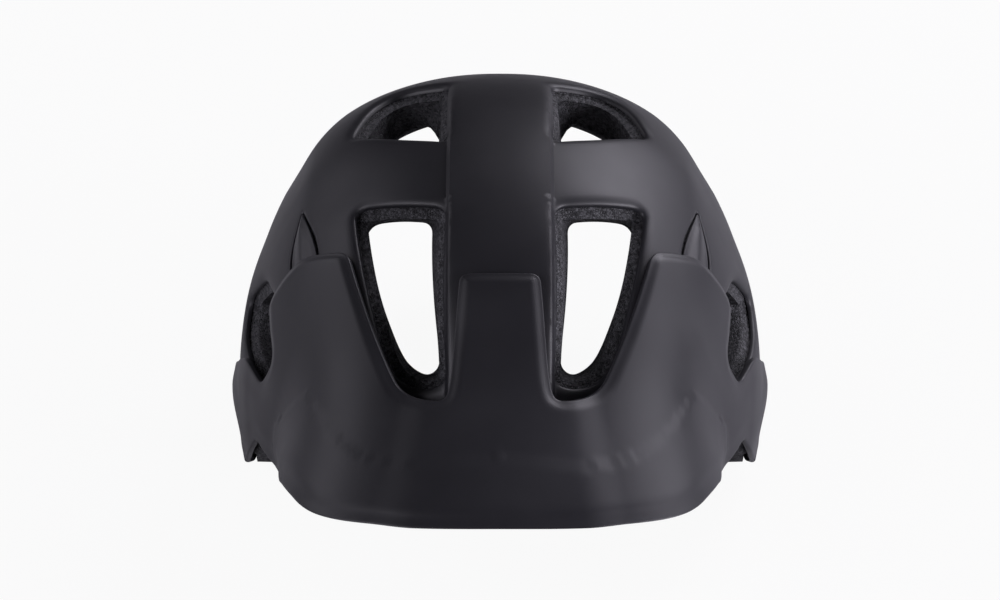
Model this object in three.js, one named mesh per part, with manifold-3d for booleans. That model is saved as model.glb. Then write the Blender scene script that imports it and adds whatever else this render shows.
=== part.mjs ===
// Cycling helmet for trail riding: an in-moulded foam liner with shell skins, a push-fit visor,
// a dial-tensioned fit ring, pads and a buckled chin harness. Units are millimetres, +Z is up and
// the helmet faces -Y. The ear tips of the liner stand on the plane z = 0.
import * as THREE from "three";
import { mergeVertices } from "three/addons/utils/BufferGeometryUtils.js";
import Module from "manifold-3d";

const wasm = await Module();
wasm.setup();

// ---- driving dimensions -------------------------------------------------------------------
const CENTRE = [0, 12, 36]; // inside the dome; outlines are laid on the surface from here
const OUTER = { side: 107.5, front: 125, rear: 140, top: 121.7, under: 260 };
const CAVITY = { side: 82, front: 102, rear: 112, top: 97, under: 260 };
const PROFILE_POWER = 2.15; // roundness of the front-to-back profile
const CROWN_POWER = 2.23; // roundness of the cross-sections over the top
const BROW_POWER = 2.2; // and towards the brow
const NAPE_POWER = 2.34; // and towards the nape

const SKIN = 1; // thickness of the shell skins
const GAP = 0.3; // between neighbouring pieces
const SKIN_CUT = { out: 12, in: 7 }; // reach of the cutters for openings in the skins alone
const BAND_HALF = 21.5; // half width of the raised band along the middle
const BAND_RISE = 2;
const BAND_RAMP = 1.5;
const BAND_FADE = [84, 116]; // profile angles from the front between which the band sinks away

const VISOR_THICKNESS = 1.8;
const VISOR_STANDOFF = 1.2; // from the shell's outer surface to the visor's inner face
const VISOR_BAND_END = 34; // half width within which the visor is raised to clear the band
const VISOR_SPREAD = 50; // bearing at which the brim has merged into the sides, degrees
const VISOR_SLOPE = 0.4175; // fall of the brim per millimetre forward
const VISOR_RISE = 127.9; // height of the brim's ramp above the dome centre, over the centre
const BRIM_LIMIT = 75; // furthest that the brim stands out from the shell

const SEAM = 66; // height of the seam between the upper and lower skins
const WEB_WIDTH = 15;
const WEB_THICKNESS = 1.2;
const RING_RADIUS = 67; // inner radius of the adjuster arms' arc, about a vertical axis
const RING_CENTRE_Y = 30;
const RING_LOW = 77; // heights of the adjuster arms' lower and upper edges
const RING_HIGH = 86;
const DIAL_Z = 28; // height of the dial's axis

const DEGREE = Math.PI / 180;

// ---- colours ------------------------------------------------------------------------------
const material = (color, roughness, metalness = 0) =>
  new THREE.MeshStandardMaterial({ color, roughness, metalness });
const SHELL_BLACK = material(0x2b2b30, 0.55);
const VISOR_BLACK = material(0x2e2e34, 0.5);
const FOAM_BLACK = material(0x1d1d20, 0.9);
const NYLON_BLACK = material(0x222226, 0.45);
const WEBBING = material(0x1c1c1f, 0.85);
const PAD_GREY = material(0x303036, 0.95);

// ---- the helmet's surface -----------------------------------------------------------------
const grown = (form, by) =>
  Object.fromEntries(Object.entries(form).map(([name, value]) => [name, value + by]));

/** How far the profile in the middle plane lies from the centre, at a slope to the horizontal. */
function profileReach(form, y, z) {
  const along = y < 0 ? form.front : form.rear;
  const up = z < 0 ? form.under : form.top;
  const slope = Math.atan2(Math.abs(z), Math.abs(y));
  return (
    ((Math.cos(slope) / along) ** PROFILE_POWER + (Math.sin(slope) / up) ** PROFILE_POWER) **
    (-1 / PROFILE_POWER)
  );
}

function sectionPower(y, z) {
  const rise = z ** 2 / (y ** 2 + z ** 2);
  return CROWN_POWER * rise + (y < 0 ? BROW_POWER : NAPE_POWER) * (1 - rise);
}

/** Distance from the centre to the surface along the direction (x, y, z). */
function reach(form, x, y, z) {
  const length = Math.hypot(x, y, z);
  const power = sectionPower(y, z);
  const across = (Math.abs(x) / form.side) ** power;
  const upright = (Math.hypot(y, z) / profileReach(form, y, z)) ** power;
  return length / (across + upright) ** (1 / power);
}

/** The band stands proud in front and sinks into the dome behind the crown. */
function bandRise(x, y, z) {
  const sunk = THREE.MathUtils.smoothstep(Math.atan2(z, -y) / DEGREE, BAND_FADE[0], BAND_FADE[1]);
  return BAND_RISE * (1 - sunk) * THREE.MathUtils.clamp((BAND_HALF - Math.abs(x)) / BAND_RAMP, 0, 1);
}

/** The point of the surface straight out from the centre through a target point. */
function onForm(form, [x, y, z], out = 0) {
  const d = [x - CENTRE[0], y - CENTRE[1], z - CENTRE[2]];
  const length = Math.hypot(...d);
  const r = reach(form, ...d) + out;
  return CENTRE.map((c, i) => c + (d[i] / length) * r);
}

const bearingPoint = (bearing, height, radius = 100) => [
  CENTRE[0] + radius * Math.sin(bearing * DEGREE),
  CENTRE[1] - radius * Math.cos(bearing * DEGREE),
  height,
];

/** A visor surface: hugging the shell at the sides, running out into the brim in front. */
function visorReach(x, y, z, standoff) {
  const length = Math.hypot(x, y, z);
  const bearing = Math.abs(Math.atan2(x, -y)) / DEGREE;
  const rise = Math.asin(z / length);
  const shell = reach(OUTER, x, y, z);
  const overBand = THREE.MathUtils.smoothstep(VISOR_BAND_END - Math.abs((x / length) * shell), 0, 12);
  const hugging = shell + BAND_RISE * overBand + standoff;
  if (bearing >= VISOR_SPREAD) return hugging;
  const incline = Math.max(Math.sin(rise) + VISOR_SLOPE * Math.cos(rise), 0.5);
  const middle = reach(OUTER, 0, -Math.cos(rise), Math.sin(rise));
  const base = middle + BAND_RISE + VISOR_STANDOFF + VISOR_THICKNESS;
  const brim = THREE.MathUtils.clamp(VISOR_RISE / incline - base, 0, BRIM_LIMIT);
  const share = Math.cos((Math.PI / 2) * (bearing / VISOR_SPREAD) ** 1.5) ** 2;
  return hugging + brim * share;
}

// ---- outlines, as points of the right-hand side, laid on the surface from the centre -------
const mirrored = (points) => points.map(([x, y, z]) => [-x, y, z]).reverse();

const FRONT_VENT = {
  rim: [
    [21.6, -33, 149.5], [59, -18, 139], [53, -57, 125.5], [45, -83, 106.5], [38, -89.5, 101.5],
    [28, -93, 101.5], [21.2, -92.5, 105],
  ],
  throat: [
    [25.5, -13, 127], [54, 6, 115], [44, -45, 104], [37.5, -60, 95], [33, -65, 92.5],
    [28.5, -66.5, 91.5], [24.5, -66, 95],
  ],
  corner: [6, 8, 30, 16, 8, 6, 6],
};
const TOP_VENT = {
  rim: [[21.6, 7, 156], [41, 16, 151], [61, 33, 140], [53, 62, 139], [43, 72, 141], [21.6, 66, 149]],
  throat: [[25, 22, 132], [40, 28, 127], [52, 36, 118], [47, 62, 115], [39, 71, 112], [25, 62, 123]],
  corner: [4, 20, 6, 10, 10, 4],
};
const SIDE_VENT = {
  rim: [
    [97, 0, 95], [90, -30, 101], [88, -52, 86], [98, -38, 67], [103, -17, 66], [105.5, 8, 64],
    [104.5, 22, 70],
  ],
  throat: [
    [76, 14, 84], [72, -10, 86], [70, -26, 77], [76, -22, 62], [79, -8, 60], [80, 4, 63], [79, 14, 72],
  ],
  corner: [8, 12, 10, 8, 12, 10, 8],
};
const REAR_VENT = {
  rim: [[22, 132, 98], [50, 120, 94], [60, 122, 80], [54, 128, 70], [22, 139, 70]],
  throat: [[25, 98, 113], [46, 90, 109], [54, 92, 96], [48, 98, 84], [25, 106, 84]],
  corner: [4, 8, 10, 8, 4],
};
const UPPER_REAR_VENT = {
  rim: [[64, 84, 121], [80, 52, 118], [88, 58, 100], [76, 88, 100]],
  throat: [[53, 66, 104], [64, 42, 102], [70, 46, 88], [61, 70, 88]],
  corner: [8, 8, 8, 8],
};
const VENTS = [FRONT_VENT, TOP_VENT, SIDE_VENT, REAR_VENT, UPPER_REAR_VENT];

// Between two widths and two profile angles from the front, in degrees.
const CHANNEL = { near: 27, far: 42, start: 114, end: 146, depth: 9 };

const BLADE = [[80.3, 4, 123.3], [74.5, -20, 125], [71.5, -38, 121], [83.5, -33, 109.5], [84.6, -14, 115.5]];
const BLADE_CORNER = [3, 20, 0.5, 0.5, 20];
const BLADE_GAP = 1.3;

const VISOR_HALF = [
  [15.6, -67.3, 139], [16.9, -79.3, 129], [19.2, -107.3, 113.4], [21.5, -114.3, 110.3],
  [38, -107.2, 108.5], [44.5, -90.6, 113.3], [50.3, -73.8, 119], [60.5, -42.1, 133.3],
  [72, -34, 127.5], [80, -28, 121.5], [88, -27, 110.5], [93.5, -28, 100], [93, -36, 96],
  [90.5, -51, 87], [96.6, -47, 73.5], [100.7, -36, 72.5], [103.8, -24.5, 71.5], [107, -14, 64],
  [109, 12, 45], [107, 36, 29], [106, 38, 6], [107, -2, 1.5], [103.7, -38.5, 33], [99.4, -49.6, 48.4],
  [92.2, -64.5, 46.7], [89.8, -74, 48], [86.2, -103, 67], [82, -123, 74], [76.4, -136, 77],
  [68.5, -147, 81], [44, -161, 87], [16, -166.5, 89.2],
];
const VISOR_CORNER = [
  4, 16, 8, 6, 9, 10, 12, 5, 12, 5, 6, 12, 8, 8, 4, 8, 6, 8,
  12, 8, 8, 14, 12, 3, 10, 10, 14, 12, 14, 16, 20, 20,
];
/** Samples a closed loop of 3-D corners, each rounded by a parabola of the given reach. */
function roundedLoop(points, corners, steps = 3) {
  const vectors = points.map((p) => new THREE.Vector3(...p));
  const loop = [];
  vectors.forEach((corner, i) => {
    const before = vectors[(i + vectors.length - 1) % vectors.length];
    const after = vectors[(i + 1) % vectors.length];
    const reachIn = Math.min(corners[i], corner.distanceTo(before) * 0.49);
    const reachOut = Math.min(corners[i], corner.distanceTo(after) * 0.49);
    const start = corner.clone().lerp(before, reachIn / corner.distanceTo(before));
    const end = corner.clone().lerp(after, reachOut / corner.distanceTo(after));
    const arc = new THREE.QuadraticBezierCurve3(start, corner, end);
    for (let s = 0; s <= steps; s += 1) loop.push(arc.getPoint(s / steps).toArray());
  });
  return loop;
}

// ---- solids -------------------------------------------------------------------------------
/** A closed solid from a list of vertices and a list of polygons fanned into triangles. */
function solidGeometry(vertices, polygons) {
  const positions = [];
  for (const polygon of polygons) {
    for (let i = 1; i < polygon.length - 1; i += 1) {
      positions.push(...vertices[polygon[0]], ...vertices[polygon[i]], ...vertices[polygon[i + 1]]);
    }
  }
  const geometry = new THREE.BufferGeometry();
  geometry.setAttribute("position", new THREE.Float32BufferAttribute(positions, 3));
  return outwards(geometry);
}

/** Turns the faces round where the signed volume says that they point inwards. */
function outwards(geometry) {
  const p = geometry.attributes.position;
  const [a, b, c] = [new THREE.Vector3(), new THREE.Vector3(), new THREE.Vector3()];
  let volume = 0;
  for (let i = 0; i < p.count; i += 3) {
    a.fromBufferAttribute(p, i);
    b.fromBufferAttribute(p, i + 1);
    c.fromBufferAttribute(p, i + 2);
    volume += a.dot(b.cross(c));
  }
  if (volume < 0) {
    for (let i = 0; i < p.count; i += 3) {
      a.fromBufferAttribute(p, i + 1);
      b.fromBufferAttribute(p, i + 2);
      p.setXYZ(i + 1, b.x, b.y, b.z);
      p.setXYZ(i + 2, a.x, a.y, a.z);
    }
  }
  return geometry;
}

/** A six-faced solid: place(u, v, w) with u and v stepped from 0 to 1 and w either 0 or 1. */
function block(uSteps, vSteps, place) {
  const vertices = [];
  const index = (i, j, w) => (i * (vSteps + 1) + j) * 2 + w;
  for (let i = 0; i <= uSteps; i += 1) {
    for (let j = 0; j <= vSteps; j += 1) {
      vertices.push(place(i / uSteps, j / vSteps, 0), place(i / uSteps, j / vSteps, 1));
    }
  }
  const polygons = [];
  const [m, n] = [uSteps, vSteps];
  for (let i = 0; i < m; i += 1) {
    for (let j = 0; j < n; j += 1) {
      polygons.push([index(i, j, 1), index(i + 1, j, 1), index(i + 1, j + 1, 1), index(i, j + 1, 1)]);
      polygons.push([index(i, j, 0), index(i, j + 1, 0), index(i + 1, j + 1, 0), index(i + 1, j, 0)]);
    }
    polygons.push([index(i, 0, 0), index(i + 1, 0, 0), index(i + 1, 0, 1), index(i, 0, 1)]);
    polygons.push([index(i, n, 1), index(i + 1, n, 1), index(i + 1, n, 0), index(i, n, 0)]);
  }
  for (let j = 0; j < n; j += 1) {
    polygons.push([index(0, j, 1), index(0, j + 1, 1), index(0, j + 1, 0), index(0, j, 0)]);
    polygons.push([index(m, j, 0), index(m, j + 1, 0), index(m, j + 1, 1), index(m, j, 1)]);
  }
  return solidGeometry(vertices, polygons);
}

const boxBetween = (low, high) => {
  const size = high.map((value, i) => value - low[i]);
  const box = new THREE.BoxGeometry(...size).toNonIndexed();
  return box.translate(...low.map((value, i) => value + size[i] / 2));
};

/** A solid through a row of loops with the same number of points, closed by fans at both ends. */
function loft(loops, evenly = false) {
  const count = loops[0].length;
  const vertices = loops.flat();
  const polygons = [];
  for (let level = 0; level < loops.length - 1; level += 1) {
    for (let i = 0; i < count; i += 1) {
      const next = (i + 1) % count;
      const low = level * count;
      const quad = [low + i, low + next, low + count + next, low + count + i];
      if (!evenly) {
        polygons.push(quad);
        continue;
      }
      const middle = [0, 1, 2].map((axis) => quad.reduce((sum, k) => sum + vertices[k][axis], 0) / 4);
      const centre = vertices.push(middle) - 1;
      for (let k = 0; k < 4; k += 1) polygons.push([centre, quad[k], quad[(k + 1) % 4]]);
    }
  }
  for (const [level, turn] of [[0, 1], [loops.length - 1, -1]]) {
    const middle = [0, 1, 2].map((axis) => loops[level].reduce((sum, p) => sum + p[axis], 0) / count);
    vertices.push(middle);
    for (let i = 0; i < count; i += 1) {
      const pair = [level * count + ((i + 1) % count), level * count + i];
      polygons.push([vertices.length - 1, ...(turn > 0 ? pair : pair.reverse())]);
    }
  }
  return solidGeometry(vertices, polygons);
}

/** The whole closed dome of a form, its grid running along the raised band's edges. */
function dome(form, banded) {
  const half = [0, BAND_HALF - BAND_RAMP, BAND_HALF, 38, 54, 69, 82, 93, 101, 105.6];
  const scale = form.side / OUTER.side;
  const stations = half.map((x) => (x > BAND_HALF ? x * scale : x));
  const across = [...stations.slice(1).reverse().map((x) => -x), ...stations];
  const ringSteps = 40;
  const vertices = [];
  for (let i = 0; i < ringSteps; i += 1) {
    const angle = (i / ringSteps) * 2 * Math.PI;
    const [y, z] = [-Math.cos(angle), Math.sin(angle)];
    const radius = profileReach(form, y, z);
    const power = sectionPower(y, z);
    for (const x of across) {
      const share = (1 - (Math.abs(x) / form.side) ** power) ** (1 / power);
      const r = radius * share + (banded ? bandRise(x, y, z) : 0);
      vertices.push([x, CENTRE[1] + y * r, CENTRE[2] + z * r]);
    }
  }
  const left = vertices.push([-form.side, CENTRE[1], CENTRE[2]]) - 1;
  const right = vertices.push([form.side, CENTRE[1], CENTRE[2]]) - 1;
  const width = across.length;
  const polygons = [];
  for (let i = 0; i < ringSteps; i += 1) {
    const a = i * width;
    const b = ((i + 1) % ringSteps) * width;
    for (let j = 0; j < width - 1; j += 1) polygons.push([a + j, a + j + 1, b + j + 1, b + j]);
    polygons.push([a, b, left], [b + width - 1, a + width - 1, right]);
  }
  return solidGeometry(vertices, polygons);
}

/** Everything below a height that changes with the bearing from the front, in [bearing, z]. */
function below(heights, lowest = -300) {
  const bearings = heights.flatMap(([b]) => (b > 0 && b < 180 ? [-b, b] : []));
  for (let b = -180; b < 180; b += 4) if (!bearings.includes(b)) bearings.push(b);
  bearings.sort((a, b) => a - b);
  const at = (bearing) => {
    const b = Math.abs(bearing);
    const i = Math.max(1, heights.findIndex(([end]) => end >= b));
    const [[b0, z0], [b1, z1]] = [heights[i - 1], heights[i]];
    return z0 + ((z1 - z0) * (b - b0)) / (b1 - b0);
  };
  const ring = (radius, height) => bearings.map((b) => bearingPoint(b, height ?? at(b), radius));
  return loft([ring(20), ring(240), ring(240, lowest), ring(20, lowest)], true);
}

const LINER_RIM = [
  [0, 62], [24, 60], [45, 55], [57, 48], [66, 28], [78, 12], [84, 0], [120, 0], [129, 14], [138, 44],
  [144, 55], [150, 57], [165, 57], [169, 44], [172, 34], [180, 32],
];
const UPPER_EDGE = [
  [0, 63.5], [24, 61.5], [45, 57], [60, 56], [72, 50], [84, 43], [93, 43], [98.5, 30], [103, 27],
  [104.4, SEAM], [180, SEAM],
];

// ---- joining and cutting --------------------------------------------------------------------
function toManifold(geometry) {
  const merged = mergeVertices(geometry.clone().deleteAttribute("normal").deleteAttribute("uv"), 1e-4);
  return new wasm.Manifold(
    new wasm.Mesh({
      numProp: 3,
      vertProperties: new Float32Array(merged.attributes.position.array),
      triVerts: new Uint32Array(merged.index.array),
    }),
  );
}

function fromManifold(solid) {
  const mesh = solid.getMesh();
  const geometry = new THREE.BufferGeometry();
  geometry.setAttribute("position", new THREE.BufferAttribute(new Float32Array(mesh.vertProperties), 3));
  geometry.setIndex(new THREE.BufferAttribute(new Uint32Array(mesh.triVerts), 1));
  return geometry;
}

const minus = (solid, cutters) => cutters.reduce((left, cutter) => left.subtract(cutter), solid);

function largestBody(solid) {
  const bodies = solid.decompose();
  return bodies.sort((a, b) => b.volume() - a.volume())[0];
}

const LEDGE = { depth: 6, share: 0.3 }; // the foam's step inside a vent, and its share of the way in

/** A hole through skin and foam: a soft rim, a bevelled ledge of foam, then the throat. */
function ventCutter({ rim, throat, corner }) {
  const mouth = roundedLoop(throat, corner, 2).map((p) => onForm(CAVITY, p));
  const surface = roundedLoop(rim, corner, 2).map((p) => onForm(OUTER, p));
  const ledge = surface.map((p, i) => {
    const between = p.map((c, k) => c + (mouth[i][k] - c) * LEDGE.share);
    return onForm(grown(OUTER, -LEDGE.depth), between);
  });
  const outside = surface.map((p) => onForm(OUTER, p, 30));
  const inside = mouth.map((p) => onForm(grown(CAVITY, -14), p));
  return toManifold(loft([outside, surface, ledge, mouth, inside]));
}

function skinCutter(points, corners, grow = 0) {
  const loop = roundedLoop(points, corners);
  const middle = [0, 1, 2].map((axis) => loop.reduce((sum, p) => sum + p[axis], 0) / loop.length);
  const wide = loop.map((p) => {
    const away = new THREE.Vector3(...p).sub(new THREE.Vector3(...middle));
    return away.setLength(away.length() + grow).toArray().map((c, i) => c + middle[i]);
  });
  const faces = [SKIN_CUT.out, -SKIN_CUT.in].map((out) => wide.map((p) => onForm(OUTER, p, out)));
  return toManifold(loft(faces));
}

const group = new THREE.Group();
group.name = "cycling_helmet";

function add(name, geometry, look) {
  geometry.computeVertexNormals();
  const mesh = new THREE.Mesh(geometry, look);
  mesh.name = name;
  group.add(mesh);
  return mesh;
}

// ---- foam liner -------------------------------------------------------------------------------
const mirroredVent = ({ rim, throat, corner }) => ({
  rim: mirrored(rim),
  throat: mirrored(throat),
  corner: [...corner].reverse(),
});
const ventCutters = VENTS.flatMap((vent) => [ventCutter(vent), ventCutter(mirroredVent(vent))]);

/** An air channel sunk into the cavity, from the back of the top vent to the rear vent. */
function channel(sign) {
  return block(2, 6, (u, v, w) => {
    const x = CHANNEL.near + (CHANNEL.far - CHANNEL.near) * u;
    const angle = (CHANNEL.start + (CHANNEL.end - CHANNEL.start) * v) * DEGREE;
    const [y, z] = [-Math.cos(angle), Math.sin(angle)];
    const share = (1 - (x / CAVITY.side) ** CROWN_POWER) ** (1 / CROWN_POWER);
    const r = profileReach(CAVITY, y, z) * share + (w ? CHANNEL.depth : -CHANNEL.depth);
    return [sign * x, CENTRE[1] + y * r, CENTRE[2] + z * r];
  });
}

const foamOuter = toManifold(dome(grown(OUTER, -SKIN - GAP), true));
const foamCutters = [
  toManifold(dome(CAVITY, false)),
  toManifold(below(LINER_RIM)),
  toManifold(channel(-1)),
  toManifold(channel(1)),
];
const foam = largestBody(minus(foamOuter, [...foamCutters, ...ventCutters]));
add("foam_liner", fromManifold(foam), FOAM_BLACK);

// ---- shell skins ------------------------------------------------------------------------------
const skin = toManifold(dome(OUTER, true)).subtract(toManifold(dome(grown(OUTER, -SKIN), true)));
const bladeSlots = [skinCutter(BLADE, BLADE_CORNER, BLADE_GAP)];
bladeSlots.push(skinCutter(mirrored(BLADE), [...BLADE_CORNER].reverse(), BLADE_GAP));
const upperCutters = [toManifold(below(UPPER_EDGE)), ...ventCutters, ...bladeSlots];
add("shell_upper", fromManifold(largestBody(minus(skin, upperCutters))), SHELL_BLACK);

const LOWER_EDGE = LINER_RIM.map(([bearing, z]) => [bearing, z + 1.6]);
const LOWER_FRONT = 41; // y of the lower skin's front ends
const CUT = 400; // a size that clears the whole helmet
const topCut = boxBetween([-CUT, -CUT, SEAM - 2 * GAP], [CUT, CUT, CUT]);
const frontCut = boxBetween([-CUT, -CUT, -CUT], [CUT, LOWER_FRONT, CUT]);
const lowerCutters = [topCut, frontCut, below(LOWER_EDGE)].map(toManifold);
add("shell_lower", fromManifold(largestBody(minus(skin, [...lowerCutters, ...ventCutters]))), SHELL_BLACK);

// ---- visor --------------------------------------------------------------------------------------
/** The visor's whole surface as a thick sheet, before its outline is cut. */
function visorSheet() {
  const place = (u, v, w) => {
    const bearing = (-122 + 244 * u) * DEGREE;
    const rise = (-24 + 84 * v) * DEGREE;
    const d = [Math.cos(rise) * Math.sin(bearing), -Math.cos(rise) * Math.cos(bearing), Math.sin(rise)];
    const r = visorReach(...d, VISOR_STANDOFF + w * VISOR_THICKNESS);
    return CENTRE.map((c, i) => c + d[i] * r);
  };
  return toManifold(block(49, 17, place));
}

/** The solid between two spheres about the centre, seen from there inside an outline. */
function sightCone(outline, near, far) {
  const middle = new THREE.Vector3(0, -0.8, 0.6); // the way from the centre to the visor's middle
  const eye = new THREE.Vector3(...CENTRE);
  const directions = outline.map((p) => new THREE.Vector3(...p).sub(eye).normalize());
  const loopAt = (radius, share) =>
    directions.map((d) => {
      const towards = middle.clone().lerp(d, share).normalize();
      return CENTRE.map((c, i) => c + radius * towards.getComponent(i));
    });
  const shares = [0.25, 0.5, 0.75];
  const nearLoops = shares.map((share) => loopAt(near, share));
  const farLoops = shares.map((share) => loopAt(far, share)).reverse();
  return toManifold(loft([...nearLoops, loopAt(near, 1), loopAt(far, 1), ...farLoops]));
}

const visorCorners = [...VISOR_CORNER, ...[...VISOR_CORNER].reverse()];
const visorOutline = roundedLoop([...VISOR_HALF, ...mirrored(VISOR_HALF)], visorCorners, 2);
const visor = sightCone(visorOutline, 50, 320).intersect(visorSheet());
add("visor", fromManifold(largestBody(visor)), VISOR_BLACK);

const SIDES = [["left", -1], ["right", 1]];
const VISOR_CLIP = { radius: 9, thickness: 1.8, at: [107.55, 14, 32] };
const VISOR_KEY = { width: 18, back: -78, top: 128, thickness: 0.5 };

for (const [side, sign] of SIDES) {
  const outline = sign > 0 ? BLADE : mirrored(BLADE);
  const corners = sign > 0 ? BLADE_CORNER : [...BLADE_CORNER].reverse();
  const blade = skin.intersect(skinCutter(outline, corners));
  add(`visor_tongue_${side}`, fromManifold(blade), VISOR_BLACK);

  const { radius, thickness, at } = VISOR_CLIP;
  const clip = new THREE.CylinderGeometry(radius, radius, thickness, 20).rotateZ(Math.PI / 2);
  clip.translate(sign * at[0], at[1], at[2]);
  add(`visor_clip_${side}`, clip.toNonIndexed(), NYLON_BLACK);
}

/** The low key under the visor's tongue, which sits on the raised band. */
const key = (u, v, w) => {
  const target = [VISOR_KEY.width * (u - 0.5), VISOR_KEY.back - 14 * v, VISOR_KEY.top - 7 * v];
  return onForm(grown(OUTER, BAND_RISE), target, 0.35 + w * VISOR_KEY.thickness);
};
add("visor_key", block(2, 2, key), NYLON_BLACK);

// ---- pads ---------------------------------------------------------------------------------------
const PAD_THICKNESS = 8;
const PAD_CLEARANCE = 1.2; // from the cavity, whose facets stand a little inside its curve

/** A pad lying on the cavity between two bearings and two rises, in degrees from the centre. */
function padPatch(bearings, rises, uSteps, vSteps) {
  return block(uSteps, vSteps, (u, v, w) => {
    const bearing = (bearings[0] + (bearings[1] - bearings[0]) * u) * DEGREE;
    const rise = (rises[0] + (rises[1] - rises[0]) * v) * DEGREE;
    const d = [Math.cos(rise) * Math.sin(bearing), -Math.cos(rise) * Math.cos(bearing), Math.sin(rise)];
    const r = reach(CAVITY, ...d) - PAD_CLEARANCE - (1 - w) * PAD_THICKNESS;
    return CENTRE.map((c, i) => c + d[i] * r);
  });
}

/** A pad running fore and aft over the crown, between two widths and two profile angles. */
function padStrip(widths, angles, steps) {
  return block(2, steps, (u, v, w) => {
    const x = widths[0] + (widths[1] - widths[0]) * u;
    const angle = (angles[0] + (angles[1] - angles[0]) * v) * DEGREE;
    const [y, z] = [-Math.cos(angle), Math.sin(angle)];
    const power = sectionPower(y, z);
    const share = (1 - (Math.abs(x) / CAVITY.side) ** power) ** (1 / power);
    const r = profileReach(CAVITY, y, z) * share - PAD_CLEARANCE - (1 - w) * PAD_THICKNESS;
    return [x, CENTRE[1] + y * r, CENTRE[2] + z * r];
  });
}
add("pad_brow", padPatch([-52, 52], [17.5, 25.5], 16, 2), PAD_GREY);
add("pad_crown_front", padStrip([-15, 15], [42, 74], 8), PAD_GREY);
add("pad_crown_rear", padStrip([-15, 15], [86, 126], 8), PAD_GREY);
add("pad_side_left", padPatch([-100, -68], [39, 48], 6, 2), PAD_GREY);
add("pad_side_right", padPatch([68, 100], [39, 48], 6, 2), PAD_GREY);

// ---- fit ring -----------------------------------------------------------------------------------
/** A strip bent round a vertical axis: bearings in degrees from the front, heights and radii. */
function arcStrip(bearings, heights, inner, outer, steps) {
  return block(steps, 1, (u, v, w) => {
    const bearing = bearings[0] + (bearings[1] - bearings[0]) * u;
    const height = heights[0] + (heights[1] - heights[0]) * v;
    const radius = inner + (outer - inner) * w;
    return [
      radius * Math.sin(bearing * DEGREE),
      RING_CENTRE_Y - radius * Math.cos(bearing * DEGREE),
      height,
    ];
  });
}
const ARM_THICKNESS = 1.4;
const ARM_OUTER = RING_RADIUS + ARM_THICKNESS;
const BAND_INNER = ARM_OUTER + GAP;
const RACK_HEIGHT = 2;
const RACK_CLEARANCE = 2.8; // from the pinion's axis to each rack
const RISER = [158.2, 162.6]; // bearings of the part of an arm that hangs down to the dial
const TAIL_END = 184.4; // bearing of the end of its rack
const BAND_THICKNESS = 1.6;

function adjusterArm(sign) {
  const strip = (from, to, low, high, steps) =>
    toManifold(arcStrip([sign * from, sign * to], [low, high], RING_RADIUS, ARM_OUTER, steps));
  const rackLow = sign < 0 ? DIAL_Z + RACK_CLEARANCE : DIAL_Z - RACK_CLEARANCE - RACK_HEIGHT;
  const upper = strip(118, RISER[1], RING_LOW, RING_HIGH, 12);
  const riser = strip(RISER[0], RISER[1], rackLow, RING_HIGH, 2);
  const rack = strip(RISER[0], TAIL_END, rackLow, rackLow + RACK_HEIGHT, 8);
  return fromManifold(upper.add(riser).add(rack));
}

/** A round button whose outer face takes the cavity's curve. */
function anchorButton(x, y, z, radius, sign) {
  const button = new THREE.CylinderGeometry(radius, radius, 16, 20).rotateZ(Math.PI / 2).toNonIndexed();
  button.translate(sign * (x + 8), y, z);
  return fromManifold(toManifold(button).intersect(toManifold(dome(grown(CAVITY, -0.4), false))));
}

for (const [side, sign] of SIDES) {
  const bandOuter = BAND_INNER + BAND_THICKNESS;
  const band = arcStrip([sign * 86, sign * 132], [RING_LOW, RING_HIGH], BAND_INNER, bandOuter, 12);
  add(`fit_band_${side}`, band, NYLON_BLACK);
  add(`fit_anchor_${side}`, anchorButton(bandOuter + GAP, 31, 81, 4, sign), NYLON_BLACK);
  add(`fit_arm_${side}`, adjusterArm(sign), NYLON_BLACK);
}

const CRADLE_OUTER = RING_RADIUS - 2 * GAP;
const CRADLE_INNER = CRADLE_OUTER - 2;
const NAPE_PAD = 5;
add("fit_cradle", arcStrip([163, 197], [14, 79], CRADLE_INNER, CRADLE_OUTER, 8), NYLON_BLACK);
for (const [side, sign] of SIDES) {
  const padOuter = CRADLE_INNER - GAP;
  const pad = arcStrip([sign * 164, sign * 177], [46, 74], padOuter - NAPE_PAD, padOuter, 4);
  add(`pad_nape_${side}`, pad, PAD_GREY);
}
const CRADLE_BACK_Y = RING_CENTRE_Y + CRADLE_OUTER;
add(
  "fit_height_strap",
  boxBetween([-6, CRADLE_BACK_Y - 1.6, 79.3], [6, CRADLE_BACK_Y - 0.4, 97]),
  NYLON_BLACK,
);

// ---- dial ---------------------------------------------------------------------------------------
const HOUSING_HALF = 12; // half width
const HOUSING_RISE = 12.5; // half height
const HOUSING_BACK = CRADLE_BACK_Y + 6.1;
const AXLE_RADIUS = 2.2;
const turned = (radius, low, high, sides = 28) => {
  const drum = new THREE.CylinderGeometry(radius, radius, high - low, sides).toNonIndexed();
  return drum.translate(0, (low + high) / 2, DIAL_Z);
};
const housing = boxBetween(
  [-HOUSING_HALF, CRADLE_BACK_Y + 0.5, DIAL_Z - HOUSING_RISE],
  [HOUSING_HALF, HOUSING_BACK, DIAL_Z + HOUSING_RISE],
);
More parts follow.
